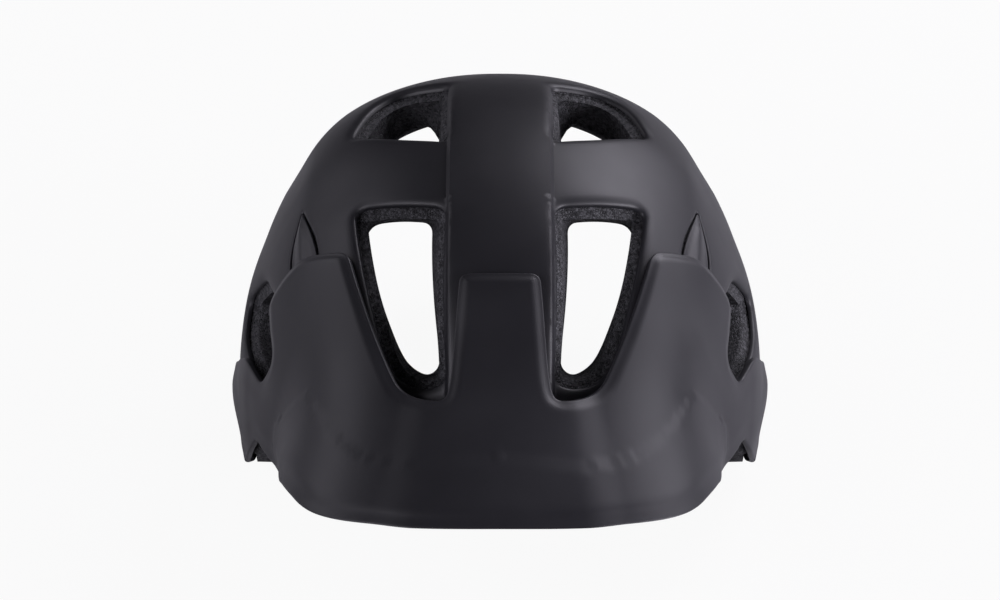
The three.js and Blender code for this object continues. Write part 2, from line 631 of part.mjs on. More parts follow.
// The racks run from side to side through the slot.
const rackSlot = boxBetween(
  [-HOUSING_HALF - 1, CRADLE_BACK_Y, DIAL_Z - 10],
  [HOUSING_HALF + 1, CRADLE_BACK_Y + 2.8, DIAL_Z + 10],
);
const axleHole = turned(AXLE_RADIUS + GAP, CRADLE_BACK_Y + 2, HOUSING_BACK + 1);
const housingCutters = [rackSlot, axleHole].map(toManifold);
add("dial_housing", fromManifold(minus(toManifold(housing), housingCutters)), NYLON_BLACK);
const axle = turned(AXLE_RADIUS, CRADLE_BACK_Y + 0.4, HOUSING_BACK + 2, 20);
add("dial_pinion", fromManifold(toManifold(axle)), NYLON_BLACK);

const KNOB_RADIUS = 12;
const KNOB_LOW = HOUSING_BACK + 0.4;
const KNOB_HIGH = KNOB_LOW + 9;
const GRIPS = { count: 14, radius: 1.6, out: 0.6 };
const knobCutters = [toManifold(turned(AXLE_RADIUS + GAP, KNOB_LOW - 1, HOUSING_BACK + 2.6, 20))];
for (let i = 0; i < GRIPS.count; i += 1) {
  const angle = (i / GRIPS.count) * 2 * Math.PI;
  const away = KNOB_RADIUS + GRIPS.out;
  const groove = new THREE.CylinderGeometry(GRIPS.radius, GRIPS.radius, 20, 8).toNonIndexed();
  groove.translate(away * Math.cos(angle), KNOB_HIGH, DIAL_Z + away * Math.sin(angle));
  knobCutters.push(toManifold(groove));
}
const knob = toManifold(turned(KNOB_RADIUS, KNOB_LOW, KNOB_HIGH, 56));
add("dial_knob", fromManifold(minus(knob, knobCutters)), NYLON_BLACK);

// ---- harness ------------------------------------------------------------------------------------
/** Webbing along a route of points; each comes with the direction in which the strap's width runs. */
function webbing(route) {
  const points = route.map(([p]) => new THREE.Vector3(...p));
  const last = points.length - 1;
  return block(last, 1, (u, v, w) => {
    const i = Math.round(u * last);
    const along = points[Math.min(i + 1, last)].clone().sub(points[Math.max(i - 1, 0)]).normalize();
    const wide = new THREE.Vector3(...route[i][1]);
    wide.addScaledVector(along, -wide.dot(along)).normalize();
    const normal = along.clone().cross(wide);
    const place = points[i].clone().addScaledVector(wide, (v - 0.5) * WEB_WIDTH);
    return place.addScaledVector(normal, (w - 0.5) * WEB_THICKNESS).toArray();
  });
}
const flipped = (route, sign) =>
  route.map(([p, d]) => [
    [sign * p[0], p[1], p[2]],
    [sign * d[0], d[1], d[2]],
  ]);

const FRONT_STRAP = [
  [[71.6, -29, 47], [0, 1, 0.9]],
  [[71.2, -22, 36], [0, 1, 0.8]],
  [[70.8, -13, 24], [0, 1, 0.75]],
  [[70.6, -5, 13.5], [0, 1, 0.6]],
];
const REAR_STRAP = [
  [[65, 76, 41], [0.4, -0.5, 1]],
  [[68.6, 60, 30], [0.2, -0.5, 1]],
  [[70, 42, 20.5], [0, -0.5, 1]],
  [[70.4, 26, 13.5], [0, -0.3, 1]],
  [[70.6, 15.5, 10], [0, -0.2, 1]],
];
const CHIN_Y = 3.5;
const CHIN_Z = 2.2; // middle of the webbing, which lies between the buckle's walls
const CHIN_END = 67; // where the chin strap enters a divider
const DIVIDER = { low: [67.4, -8, 0.3], high: [74, 15, 5] };

for (const [side, sign] of SIDES) {
  add(`strap_anchor_front_${side}`, anchorButton(73, -29, 47, 6, sign), NYLON_BLACK);
  add(`strap_anchor_rear_${side}`, anchorButton(68.2, 76, 41, 6, sign), NYLON_BLACK);
  add(`strap_front_${side}`, webbing(flipped(FRONT_STRAP, sign)), WEBBING);
  add(`strap_rear_${side}`, webbing(flipped(REAR_STRAP, sign)), WEBBING);
  const [x0, x1] = [sign * DIVIDER.low[0], sign * DIVIDER.high[0]].sort((a, b) => a - b);
  const divider = boxBetween([x0, DIVIDER.low[1], DIVIDER.low[2]], [x1, DIVIDER.high[1], DIVIDER.high[2]]);
  add(`strap_divider_${side}`, divider, NYLON_BLACK);
}

const chinPoint = (x) => [
  [x, CHIN_Y, CHIN_Z],
  [0, 1, 0],
];
add("strap_chin_right", webbing([CHIN_END, 50, 32, 14].map(chinPoint)), WEBBING);
add("strap_chin_left", webbing([-CHIN_END, -54, -41, -28.3].map(chinPoint)), WEBBING);


/** A box on the chin strap: from x0 to x1, y0 to y1 from the strap's middle, and z0 to z1. */
const chinBox = (x0, x1, y0, y1, z0, z1) =>
  toManifold(boxBetween([x0, CHIN_Y + y0, z0], [x1, CHIN_Y + y1, z1]));

const BUCKLE = { low: 0.3, high: 7.3 }; // heights of its underside and its top
const BUCKLE_SLOT = { low: 1.2, high: 3.2 }; // and of the slots that the webbing runs through
const socketBody = chinBox(-28, -2, -12, 12, BUCKLE.low, BUCKLE.high);
const socketHollow = chinBox(-22, 0, -9.8, 9.8, 1.7, 5.9);
add("buckle_socket", fromManifold(socketBody.subtract(socketHollow)), NYLON_BLACK);

const tabBody = chinBox(12, 27, -11, 11, BUCKLE.low, BUCKLE.high);
const tabSlot = chinBox(11, 28, -8.2, 8.2, BUCKLE_SLOT.low, BUCKLE_SLOT.high);
const prongs = [chinBox(-16, 12.5, -9.2, -5.6, 3.4, 5.5), chinBox(-16, 12.5, 5.6, 9.2, 3.4, 5.5)];
add("buckle_tab", fromManifold(tabBody.subtract(tabSlot).add(prongs[0]).add(prongs[1])), NYLON_BLACK);

const keeperBody = chinBox(-49, -45, -9.6, 9.6, BUCKLE.low, 4.6);
const keeperSlot = chinBox(-50, -44, -7.9, 7.9, BUCKLE_SLOT.low, BUCKLE_SLOT.high);
add("strap_keeper", fromManifold(keeperBody.subtract(keeperSlot)), NYLON_BLACK);

const chinPad = boxBetween([-44.5, CHIN_Y - 10, CHIN_Z + 0.9], [-30, CHIN_Y + 10, CHIN_Z + 4.4]);
add("pad_chin", chinPad, PAD_GREY);

export default group;
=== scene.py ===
"""Cycling helmet: shells, foam, visor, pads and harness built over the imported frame, in metres."""

import math

import bmesh
import bpy
import numpy as np
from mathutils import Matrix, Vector, kdtree
from mathutils.geometry import delaunay_2d_cdt
from numpy.linalg import norm


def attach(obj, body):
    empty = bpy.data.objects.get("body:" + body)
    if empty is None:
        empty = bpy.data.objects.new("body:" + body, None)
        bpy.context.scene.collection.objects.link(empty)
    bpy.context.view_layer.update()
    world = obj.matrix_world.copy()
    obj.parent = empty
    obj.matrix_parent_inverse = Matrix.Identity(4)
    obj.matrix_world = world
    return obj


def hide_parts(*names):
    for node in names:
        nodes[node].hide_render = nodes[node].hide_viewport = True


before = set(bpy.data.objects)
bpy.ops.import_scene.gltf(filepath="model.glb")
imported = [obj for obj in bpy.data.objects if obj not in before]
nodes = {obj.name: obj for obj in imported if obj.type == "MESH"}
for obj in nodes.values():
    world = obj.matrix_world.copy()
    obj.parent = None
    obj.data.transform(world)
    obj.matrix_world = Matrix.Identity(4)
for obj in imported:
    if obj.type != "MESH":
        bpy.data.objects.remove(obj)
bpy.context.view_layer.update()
MM = 0.001

# ---- the helmet's surface, in millimetres, as distances from a point inside the dome
CENTRE = np.array([0.0, 12.0, 36.0])
SHOULDER_X, SHOULDER_INSIDE, SHOULDER_OUTSIDE, SHOULDER_RISE = 75.0, 30.0, 9.0, 2.6
SHOULDER_Y, SHOULDER_Z = (-25, 15), (20, 50)  # where they swell up, from the centre
HIP_X, HIP_Z, HIP_RISE = (98, 107), (-14, 12), 1.9
SIDE_REACH = 110.0  # about how far out the side panel lies
BULGE, BULGE_SPREAD, BULGE_RISE = np.array([110.0, 2.0, 37.0]), (17, 9), 1.3
EAR_Y, EAR_Z, EAR_SIDE, EAR_TUCK = (16, 34), (0, 16), (0.8, 0.9), 3.6
PANEL_TOP_Z, PANEL_TOP_SIDE, PANEL_THINNING = (42, 52), (0.93, 0.98), 0.9
PANEL_SIDE, PANEL_INSET = (0.88, 0.95), 1.3
OUTER = dict(side=107.5, front=125.0, rear=140.0, top=121.7, under=260.0)
CAVITY = dict(side=82.0, front=102.0, rear=112.0, top=97.0, under=260.0)
PROFILE_POWER, CROWN_POWER, BROW_POWER, NAPE_POWER = 2.15, 2.23, 2.2, 2.34
BAND_HALF, BAND_RISE, BAND_RAMP, BAND_FADE = 21.5, 2.0, 1.8, (84, 116)
VISOR_THICKNESS, VISOR_STANDOFF, VISOR_BAND_END = 1.8, 1.2, 34.0
VISOR_BAND_RAMP = 12.0
VISOR_SPREAD, VISOR_SLOPE, VISOR_RISE = 50.0, 0.4175, 127.9
BRIM_BLEND, BRIM_SINK, BRIM_LIMIT = 7.0, 0.8, 75.0  # how softly the brim leaves the shell, and how far
SEAM = 66.0  # height of the seam between the upper and lower skins


def smoothstep(value, low, high):
    t = np.clip((value - low) / (high - low), 0, 1)
    return t * t * (3 - 2 * t)


def unit(v):
    return v / norm(v, axis=-1, keepdims=True)


def profile_reach(form, y, z):
    along = np.where(y < 0, form["front"], form["rear"])
    up = np.where(z < 0, form["under"], form["top"])
    slope = np.arctan2(np.abs(z), np.abs(y))
    across = (np.cos(slope) / along) ** PROFILE_POWER + (np.sin(slope) / up) ** PROFILE_POWER
    return across ** (-1 / PROFILE_POWER)


def fullness(x, y, z):
    """How far the shell swells beyond its plain form, at the shoulders and over the ears."""
    spread = np.where(x < SHOULDER_X, SHOULDER_INSIDE, SHOULDER_OUTSIDE)
    shoulders = SHOULDER_RISE * np.exp(-(((x - SHOULDER_X) / spread) ** 2))
    shoulders = shoulders * smoothstep(y, *SHOULDER_Y) * smoothstep(z, *SHOULDER_Z)
    return shoulders + HIP_RISE * smoothstep(x, *HIP_X) * smoothstep(z, *HIP_Z)


def reach(form, d):
    """Distance from the centre to a form's surface along unit directions."""
    x, y, z = d[..., 0], d[..., 1], d[..., 2]
    rise = z**2 / np.maximum(y**2 + z**2, 1e-9)
    power = CROWN_POWER * rise + np.where(y < 0, BROW_POWER, NAPE_POWER) * (1 - rise)
    upright = np.hypot(y, z) / profile_reach(form, y, z)
    plain = 1 / ((np.abs(x) / form["side"]) ** power + upright**power) ** (1 / power)
    if form is not OUTER:
        return plain
    return plain + fullness(np.abs(x) * plain, y * plain, z * plain)


def plain_reach(d):
    return reach(OUTER, d)


def shell_reach(d):
    """The outer skin, with the raised band along its middle."""
    r = reach(OUTER, d)
    angle = np.degrees(np.arctan2(d[..., 2], -d[..., 1]))
    band = BAND_RISE * (1 - smoothstep(angle, *BAND_FADE))
    return r + band * smoothstep(BAND_HALF - np.abs(d[..., 0] * r), 0, BAND_RAMP)


def visor_reach(d):
    """The visor's outer face: it hugs the shell at the sides and runs out into the brim in front."""
    bearing = np.degrees(np.abs(np.arctan2(d[..., 0], -d[..., 1])))
    rise = np.arcsin(np.clip(d[..., 2], -1, 1))
    shell = reach(OUTER, d)
    over_band = smoothstep(VISOR_BAND_END - np.abs(d[..., 0] * shell), 0, VISOR_BAND_RAMP)
    hugging = shell + BAND_RISE * over_band + VISOR_STANDOFF + VISOR_THICKNESS
    incline = np.maximum(np.sin(rise) + VISOR_SLOPE * np.cos(rise), 0.5)
    level = np.stack([0 * rise, -np.cos(rise), np.sin(rise)], -1)
    base = reach(OUTER, level) + BAND_RISE + VISOR_STANDOFF + VISOR_THICKNESS
    rising = VISOR_RISE / incline - base
    brim = np.minimum((rising + np.hypot(rising, BRIM_BLEND)) / 2 - BRIM_SINK, BRIM_LIMIT)
    share = np.cos(np.pi / 2 * np.minimum(bearing / VISOR_SPREAD, 1) ** 1.5) ** 2
    return hugging + brim * share


def ahead_of_ear(d):
    """From 1 over the front half of the side panel to 0 at its rear edge."""
    return 1 - smoothstep(CENTRE[1] + d[..., 1] * SIDE_REACH, *EAR_Y)


def ear_tuck(d):
    """The side panel's lowest corner, and the foam behind it, turn in under the ear."""
    height = CENTRE[2] + d[..., 2] * SIDE_REACH
    sideways = smoothstep(np.abs(d[..., 0]), *EAR_SIDE)
    return EAR_TUCK * (1 - smoothstep(height, *EAR_Z)) * sideways * ahead_of_ear(d)


def panel_top(d):
    """From 0 to 1 towards the top edge of the side panel, which lies close to the shell."""
    height = CENTRE[2] + d[..., 2] * SIDE_REACH
    return smoothstep(height, *PANEL_TOP_Z) * smoothstep(np.abs(d[..., 0]), *PANEL_TOP_SIDE)


def panel_bulge(d):
    """The side panel swells over its clip."""
    y = (d[..., 1] * SIDE_REACH - (BULGE - CENTRE)[1]) / BULGE_SPREAD[0]
    z = (d[..., 2] * SIDE_REACH - (BULGE - CENTRE)[2]) / BULGE_SPREAD[1]
    return BULGE_RISE * np.exp(-(y**2 + z**2))


# ---- outlines on that surface: corner points of the right-hand side and their corner sizes
FRONT_VENT = dict(
    rim=[
        (21.6, -33, 149.5), (59, -18, 139), (53, -57, 125.5), (45, -83, 106.5), (38, -89.5, 101.5),
        (28, -93, 101.5), (21.2, -92.5, 105),
    ],
    throat=[
        (26.5, -13, 127), (54, 6, 115), (44, -45, 104), (37.5, -60, 95), (33, -65, 92.5),
        (27, -67.5, 91), (22.3, -66, 95),
    ],
    corner=[6, 8, 30, 16, 8, 6, 6],
)
TOP_VENT = dict(
    rim=[(21.6, 7, 156), (41, 16, 151), (61, 33, 140), (53, 62, 139), (43, 72, 141), (21.6, 66, 149)],
    throat=[(25, 22, 132), (40, 28, 127), (52, 36, 118), (47, 62, 115), (39, 71, 112), (25, 62, 123)],
    corner=[4, 20, 6, 10, 10, 4],
)
SIDE_VENT = dict(
    rim=[
        (97, 0, 95), (90, -30, 101), (88, -52, 86), (98, -38, 67), (103, -17, 66), (105.5, 8, 64),
        (104.5, 22, 70),
    ],
    throat=[
        (76, 14, 84), (72, -10, 86), (70, -26, 77), (76, -22, 62), (79, -8, 60), (80, 4, 63),
        (79, 14, 72),
    ],
    corner=[8, 12, 10, 8, 12, 10, 8],
)
REAR_VENT = dict(
    rim=[(22, 132, 98), (50, 120, 94), (60, 122, 80), (54, 128, 70), (22, 139, 70)],
    throat=[(25, 98, 113), (46, 90, 109), (54, 92, 96), (48, 98, 84), (25, 106, 84)],
    corner=[4, 8, 10, 8, 4],
)
UPPER_REAR_VENT = dict(
    rim=[(64, 84, 121), (80, 52, 118), (88, 58, 100), (76, 88, 100)],
    throat=[(53, 66, 104), (64, 42, 102), (70, 46, 88), (61, 70, 88)],
    corner=[8, 8, 8, 8],
)
VENTS = [FRONT_VENT, TOP_VENT, SIDE_VENT, REAR_VENT, UPPER_REAR_VENT]

CHANNEL = (27, 42, 114, 146, 9)  # widths, profile angles from the front, and depth

BLADE = [(80.3, 4, 123.3), (74.5, -20, 125), (71.5, -38, 121), (83.5, -33, 109.5), (84.6, -14, 115.5)]
BLADE_CORNER = [3, 20, 0.5, 0.5, 20]
BLADE_GAP = 1.3

# From the top of the visor's tongue round the notch, wing and side panel to the middle of the lip.
VISOR_HALF = [
    (15.6, -67.3, 139), (16.9, -79.3, 129), (19.2, -107.3, 113.4), (21.5, -114.3, 110.3),
    (38, -107.2, 108.5), (44.5, -90.6, 113.3), (50.3, -73.8, 119), (60.5, -42.1, 133.3),
    (72, -34, 127.5), (80, -28, 121.5), (88, -27, 110.5), (93.5, -28, 100), (93, -36, 96),
    (90.5, -51, 87), (96.6, -47, 73.5), (100.7, -36, 72.5), (103.8, -24.5, 71.5), (107, -14, 64),
    (109, 12, 45), (107, 36, 29), (106, 38, 6), (107, -2, 1.5), (103.7, -38.5, 33), (99.4, -49.6, 48.4),
    (92.2, -64.5, 46.7), (89.8, -74, 48), (86.2, -103, 67), (82, -123, 74), (76.4, -136, 77),
    (70.2, -147.5, 80.3), (47, -161, 86.2), (16, -166.5, 88.8),
]
VISOR_CORNER = [
    4, 16, 8, 6, 9, 10, 12, 5, 12, 5, 6, 12, 8, 8, 4, 8, 6, 8,
    12, 8, 8, 14, 12, 3, 10, 10, 14, 12, 14, 16, 20, 20,
]
VISOR_BEVELLED = 14  # corners from the tongue's top on that have the wide bevel
VISOR_BRIM = 25  # the first corner of the brim, whose rim turns down

LINER_RIM = [
    (0, 62), (24, 60), (45, 55), (57, 48), (66, 28), (78, 12), (84, 0), (120, 0), (129, 14), (138, 44),
    (144, 55), (150, 57), (165, 57), (169, 44), (172, 34), (180, 32),
]
UPPER_EDGE = [
    (0, 63.5), (24, 61.5), (45, 57), (60, 56), (72, 50), (84, 43), (93, 43), (98.5, 30), (103, 27),
    (104.4, SEAM), (180, SEAM),
]


def mirrored(points):
    return [(-x, y, z) for x, y, z in reversed(points)]


def rounded_loop(points, corners, steps=7):
    """A closed loop of 3-D corners, each rounded by a parabola of the given reach."""
    corner_points = np.array(points, float)
    loop = []
    for i, corner in enumerate(corner_points):
        before = corner_points[i - 1] - corner
        after = corner_points[(i + 1) % len(corner_points)] - corner
        start = corner + before * min(corners[i] / norm(before), 0.49)
        end = corner + after * min(corners[i] / norm(after), 0.49)
        for s in range(steps + 1):
            t = s / steps
            loop.append((1 - t) ** 2 * start + 2 * t * (1 - t) * corner + t * t * end)
    return np.array(loop)


def piece_counts(loop, step):
    lengths = norm(np.roll(loop, -1, 0) - loop, axis=1)
    return np.maximum(1, np.round(lengths / step)).astype(int)


def divided(loop, counts):
    """The loop with each side cut into its own number of equal pieces."""
    following = np.roll(loop, -1, 0)
    parts = [a + (b - a) * (k / n) for a, b, n in zip(loop, following, counts) for k in range(n)]
    return np.array(parts)


def directions(points):
    return unit(np.asarray(points, float) - CENTRE)


def edge_at(heights, bearings, form_reach):
    """Directions of the points of a surface at a height that changes with the bearing from the front."""
    stations = np.array(heights, float)
    z = np.interp(np.abs(bearings), stations[:, 0], stations[:, 1]) - CENTRE[2]
    radius = np.full(len(bearings), 100.0)
    angle = np.radians(bearings)
    for _ in range(25):
        p = np.stack([radius * np.sin(angle), -radius * np.cos(angle), z], -1)
        radius = radius * form_reach(unit(p)) / norm(p, axis=1)
    return unit(np.stack([radius * np.sin(angle), -radius * np.cos(angle), z], -1))


# ---- conforming patches
def flat(d):
    """Unit directions laid out round the zenith, in degrees."""
    polar = np.degrees(np.arccos(np.clip(d[..., 2], -1, 1)))
    across = np.maximum(np.hypot(d[..., 0], d[..., 1]), 1e-9)
    return np.stack([polar * d[..., 0] / across, polar * d[..., 1] / across], -1)


def unflat(uv):
    polar = np.radians(norm(uv, axis=-1))
    across = np.maximum(norm(uv, axis=-1), 1e-9)
    side = np.sin(polar) / across
    return np.stack([uv[..., 0] * side, uv[..., 1] * side, np.cos(polar)], -1)


def signed_area(uv):
    following = np.roll(uv, -1, 0)
    return 0.5 * np.sum(uv[:, 0] * following[:, 1] - following[:, 0] * uv[:, 1])


def inside(points, loops):
    """True where a flat point lies inside the first loop and outside the others."""
    result = np.zeros(len(points), bool)
    for loop in loops:
        following = np.roll(loop, -1, 0)
        for (x0, y0), (x1, y1) in zip(loop, following):
            if y0 == y1:
                continue
            crosses = (y0 > points[:, 1]) != (y1 > points[:, 1])
            result ^= crosses & (points[:, 0] < (x1 - x0) * (points[:, 1] - y0) / (y1 - y0) + x0)
    return result


def search_tree(points):
    tree = kdtree.KDTree(len(points))
    for i, p in enumerate(points):
        tree.insert(Vector(p), i)
    tree.balance()
    return tree


class Outline:
    """Closed loops on a surface, with the distance and nearest loop point of any other point."""

    def __init__(self, loops, form_reach, weights=None):
        self.loops = loops
        self.points = np.concatenate([loop * form_reach(loop)[:, None] for loop in loops])
        starts = np.cumsum([0] + [len(loop) for loop in loops])
        numbers = [np.arange(a, b) for a, b in zip(starts, starts[1:])]
        self.before, self.after = (np.concatenate([np.roll(n, k) for n in numbers]) for k in (1, -1))
        self.weights = np.concatenate(weights) if weights else np.zeros(len(self.points))
        self.tree = search_tree(self.points)

    def nearest(self, points):
        index = np.array([self.tree.find(Vector(p))[1] for p in points])
        distance = np.full(len(points), 1e9)
        for neighbour in (self.before, self.after):
            a, b = self.points[index], self.points[neighbour[index]]
            side = b - a
            share = np.sum((points - a) * side, 1) / np.maximum(np.sum(side**2, 1), 1e-12)
            foot = a + side * np.clip(share, 0, 1)[:, None]
            distance = np.minimum(distance, norm(points - foot, axis=1))
        return distance, index


def patch(outline, form_reach, spacing, offsets, rows=()):
    """Triangles over the area inside an outline: rings follow its edges and a grid fills the rest.

    Returns the directions of the points, their distances from the edge, the nearest outline points
    and the triangles, counter-clockwise as seen from outside."""
    flat_loops = [flat(loop) for loop in outline.loops]
    edges, extra, needed = [], [], []
    first = 0
    for number, (loop, uv) in enumerate(zip(outline.loops, flat_loops)):
        count = len(loop)
        edges += [(first + i, first + (i + 1) % count) for i in range(count)]
        base = outline.points[first : first + count]
        first += count
        along = unit(np.roll(base, -1, 0) - np.roll(base, 1, 0))
        inward = unit(np.cross(loop, along)) * np.sign(signed_area(uv)) * (-1 if number else 1)
        for offset in offsets:
            extra.append(flat(unit(base + inward * offset)))
            needed.append(np.full(count, offset * 0.93))
    for row in rows:
        extra.append(flat(row))
        needed.append(np.full(len(row), spacing * 0.3))
    low, high = flat_loops[0].min(0), flat_loops[0].max(0)
    step = math.degrees(spacing / np.mean(norm(outline.points, axis=1)))
    lines = np.arange(low[1], high[1], step * math.sqrt(3) / 2)
    columns = np.arange(low[0], high[0], step)
    grid = np.array([(x + step / 2 * (k % 2), y) for k, y in enumerate(lines) for x in columns])
    if rows:
        rows_tree = search_tree([(*p, 0) for p in np.concatenate([flat(row) for row in rows])])
        clear = [rows_tree.find((*p, 0))[2] > step * 0.45 for p in grid]
        grid = grid[np.array(clear)]
    extra.append(grid)
    needed.append(np.full(len(grid), max(offsets) + spacing * 0.55))
    extra, needed = np.concatenate(extra), np.concatenate(needed)
    kept = inside(extra, flat_loops)
    extra, needed = extra[kept], needed[kept]
    d = unflat(extra)
    distance, _ = outline.nearest(d * form_reach(d)[:, None])
    extra = extra[distance > needed]
    uv = np.concatenate(flat_loops + [extra])
    made = delaunay_2d_cdt([Vector(p) for p in uv], edges, [], 0, 1e-7)
    uv = np.array([tuple(p) for p in made[0]])
    faces = np.array([f for f in made[2] if len(f) == 3])
    faces = faces[inside(uv[faces].mean(1), flat_loops)]
    a, b, c = uv[faces[:, 0]], uv[faces[:, 1]], uv[faces[:, 2]]
    turn = (b[:, 0] - a[:, 0]) * (c[:, 1] - a[:, 1]) - (b[:, 1] - a[:, 1]) * (c[:, 0] - a[:, 0])
    faces[turn < 0] = faces[turn < 0][:, ::-1]
    used = np.unique(faces)
    renumber = np.zeros(len(uv), int)
    renumber[used] = np.arange(len(used))
    faces = renumber[faces]
    d = unflat(uv[used])
    distance, index = outline.nearest(d * form_reach(d)[:, None])
    return d, distance, index, faces


def shade_smooth(mesh):
    mesh.polygons.foreach_set("use_smooth", [True] * len(mesh.polygons))


def mesh_object(name, vertices, faces, sharp=45, merge=0.0):
    """A smooth-shaded mesh object from points in millimetres."""
    mesh = bpy.data.meshes.new(name)
    points = [tuple(v) for v in np.asarray(vertices) * MM]
    mesh.from_pydata(points, [], [tuple(int(i) for i in f) for f in faces])
    if merge:
        work = bmesh.new()
        work.from_mesh(mesh)
        bmesh.ops.remove_doubles(work, verts=work.verts, dist=merge * MM)
        work.to_mesh(mesh)
        work.free()
    shade_smooth(mesh)
    mesh.set_sharp_from_angle(angle=math.radians(sharp))
    obj = bpy.data.objects.new(name, mesh)
    bpy.context.scene.collection.objects.link(obj)
    return obj


def quads(rows, count, first=0, wrap_rows=False, wrap=True):
    """Faces between neighbouring rows of points, each row being count long."""
    faces = []
    for k in range(rows if wrap_rows else rows - 1):
        low, high = first + k * count, first + (k + 1) % rows * count
        for i in range(count if wrap else count - 1):
            j = (i + 1) % count
            faces.append((low + i, low + j, high + j, high + i))
    return faces


def tidy_normals(obj):
    """Turns all the faces of a closed mesh outwards."""
    work = bmesh.new()
    work.from_mesh(obj.data)
    bmesh.ops.recalc_face_normals(work, faces=work.faces)
    work.to_mesh(obj.data)
    work.free()


def boundary_edges(faces):
    """The directed edges that only one triangle uses."""
    sides = np.concatenate([faces[:, [0, 1]], faces[:, [1, 2]], faces[:, [2, 0]]])
    seen = {tuple(side) for side in sides}
    return [(a, b) for a, b in sides if (b, a) not in seen]


def thick_sheet(name, d, top, thickness, faces, sharp=45):
    """A closed sheet from its outer face: unit directions and their distances from the centre."""
    count = len(d)
    outer = CENTRE + d * top[:, None]
    inner = CENTRE + d * (top - thickness)[:, None]
    walls = [(b, a, a + count, b + count) for a, b in boundary_edges(faces)]
    under = faces[:, ::-1] + count
    return mesh_object(name, np.concatenate([outer, inner]), [*faces, *under, *walls], sharp)


def rolled(distance, width, depth):
    """How far a rounded edge has dropped at a distance from it."""
    t = np.clip(1 - distance / width, 0, 1)
    return depth * (1 - np.sqrt(1 - t**2 * 0.999))


# ---- materials
class Look:
    """A small builder for node materials on one Principled shader, in object coordinates."""

    def __init__(self, name, base, roughness, **settings):
        self.material = bpy.data.materials.new(name)
        self.material.use_nodes = True
        self.tree = self.material.node_tree
        self.shader = self.tree.nodes["Principled BSDF"]
        self.set("Base Color", (*base, 1))
        self.set("Roughness", roughness)
        for key, value in settings.items():
            self.set(key.replace("_", " "), value)
        self.place = self.node("ShaderNodeTexCoord").outputs["Object"]

    def set(self, socket, value):
        self.shader.inputs[socket].default_value = value

    def node(self, kind, **values):
        made = self.tree.nodes.new(kind)
        for key, value in values.items():
            if hasattr(made, key) and key not in made.inputs:
                setattr(made, key, value)
            else:
                made.inputs[key].default_value = value
        return made

    def link(self, a, b):
        self.tree.links.new(a, b)

    def noise(self, scale, detail=4.0):
        made = self.node("ShaderNodeTexNoise", Scale=scale, Detail=detail)
        self.link(self.place, made.inputs["Vector"])
        return made.outputs["Fac"]

    def cells(self, scale, feature="F1", output="Distance", randomness=1.0):
        made = self.node("ShaderNodeTexVoronoi", Scale=scale, Randomness=randomness)
        made.feature = feature
        self.link(self.place, made.inputs["Vector"])
        return made.outputs[output]

    def ramp(self, value, low, high, start, end):
        """Maps a value from low..high to start..end."""
        made = self.node("ShaderNodeMapRange")
        for socket, limit in zip(("From Min", "From Max", "To Min", "To Max"), (low, high, start, end)):
            made.inputs[socket].default_value = limit
        self.link(value, made.inputs["Value"])
        return made.outputs["Result"]

    def blend(self, share, first, second):
        """A colour between two, by a share from 0 to 1."""
        made = self.node("ShaderNodeMix")
        made.data_type = "RGBA"
        self.link(share, made.inputs["Factor"])
        made.inputs["A"].default_value = (*first, 1)
        made.inputs["B"].default_value = (*second, 1)
        return made.outputs["Result"]

    def colour(self, output):
        self.link(output, self.shader.inputs["Base Color"])

    def gloss(self, output):
        self.link(output, self.shader.inputs["Roughness"])

    def bump(self, height, distance):
        """Adds a layer of bump of a real height, in metres, over the ones before it."""
        made = self.node("ShaderNodeBump", Strength=1.0, Distance=distance)
        self.link(height, made.inputs["Height"])
        before = self.shader.inputs["Normal"].links
        if before:
            self.link(before[0].from_socket, made.inputs["Normal"])
        self.link(made.outputs["Normal"], self.shader.inputs["Normal"])


def satin_plastic(name, base, roughness, grain):
    """Moulded black plastic: a fine spark-eroded grain and slow changes in gloss and tone."""
    look = Look(name, base, roughness)
    brighter = tuple(c * 1.35 for c in base)
    look.colour(look.blend(look.ramp(look.noise(9), 0.35, 0.65, 0, 1), base, brighter))
    look.gloss(look.ramp(look.noise(35, 5), 0.3, 0.7, roughness - 0.035, roughness + 0.035))
    look.bump(look.noise(2600, 2), grain)
    look.bump(look.noise(180, 3), grain * 0.6)
    return look


BEADS = 950  # to the metre


def beaded_foam():
    """Expanded polystyrene: pressed beads of mixed size, darker in the joints between them."""
    look = Look("foam_beads", (0.02, 0.02, 0.022), 0.85)
    joints = look.cells(BEADS, "DISTANCE_TO_EDGE")
    tone = look.cells(BEADS, output="Color")
    grey = look.node("ShaderNodeRGBToBW")
    look.link(tone, grey.inputs["Color"])
    speckle = look.ramp(grey.outputs["Val"], 0.2, 0.9, 0, 1)
    look.colour(look.blend(speckle, (0.010, 0.010, 0.012), (0.085, 0.085, 0.092)))
    look.gloss(look.ramp(look.noise(500, 2), 0.3, 0.7, 0.55, 0.85))
    look.bump(look.ramp(joints, 0, 0.25, 0, 1), 0.00035)
    look.bump(look.noise(900, 3), 0.0002)
    return look


shell_look = satin_plastic("shell_skin", (0.0125, 0.0122, 0.0152), 0.47, 0.000012)
visor_look = satin_plastic("visor_plastic", (0.0150, 0.0147, 0.0178), 0.42, 0.000018)
nylon_look = satin_plastic("nylon_parts", (0.016, 0.016, 0.018), 0.40, 0.00002)
foam_look = beaded_foam()


def dress(obj, look, body, slot, *replaced):
    """Gives a piece its material and its place in the frame, and hides the CAD nodes that it stands for.
    """
    obj.data.materials.clear()
    obj.data.materials.append(look.material)
    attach(obj, body)
    if replaced:
        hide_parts(*replaced)
    return obj


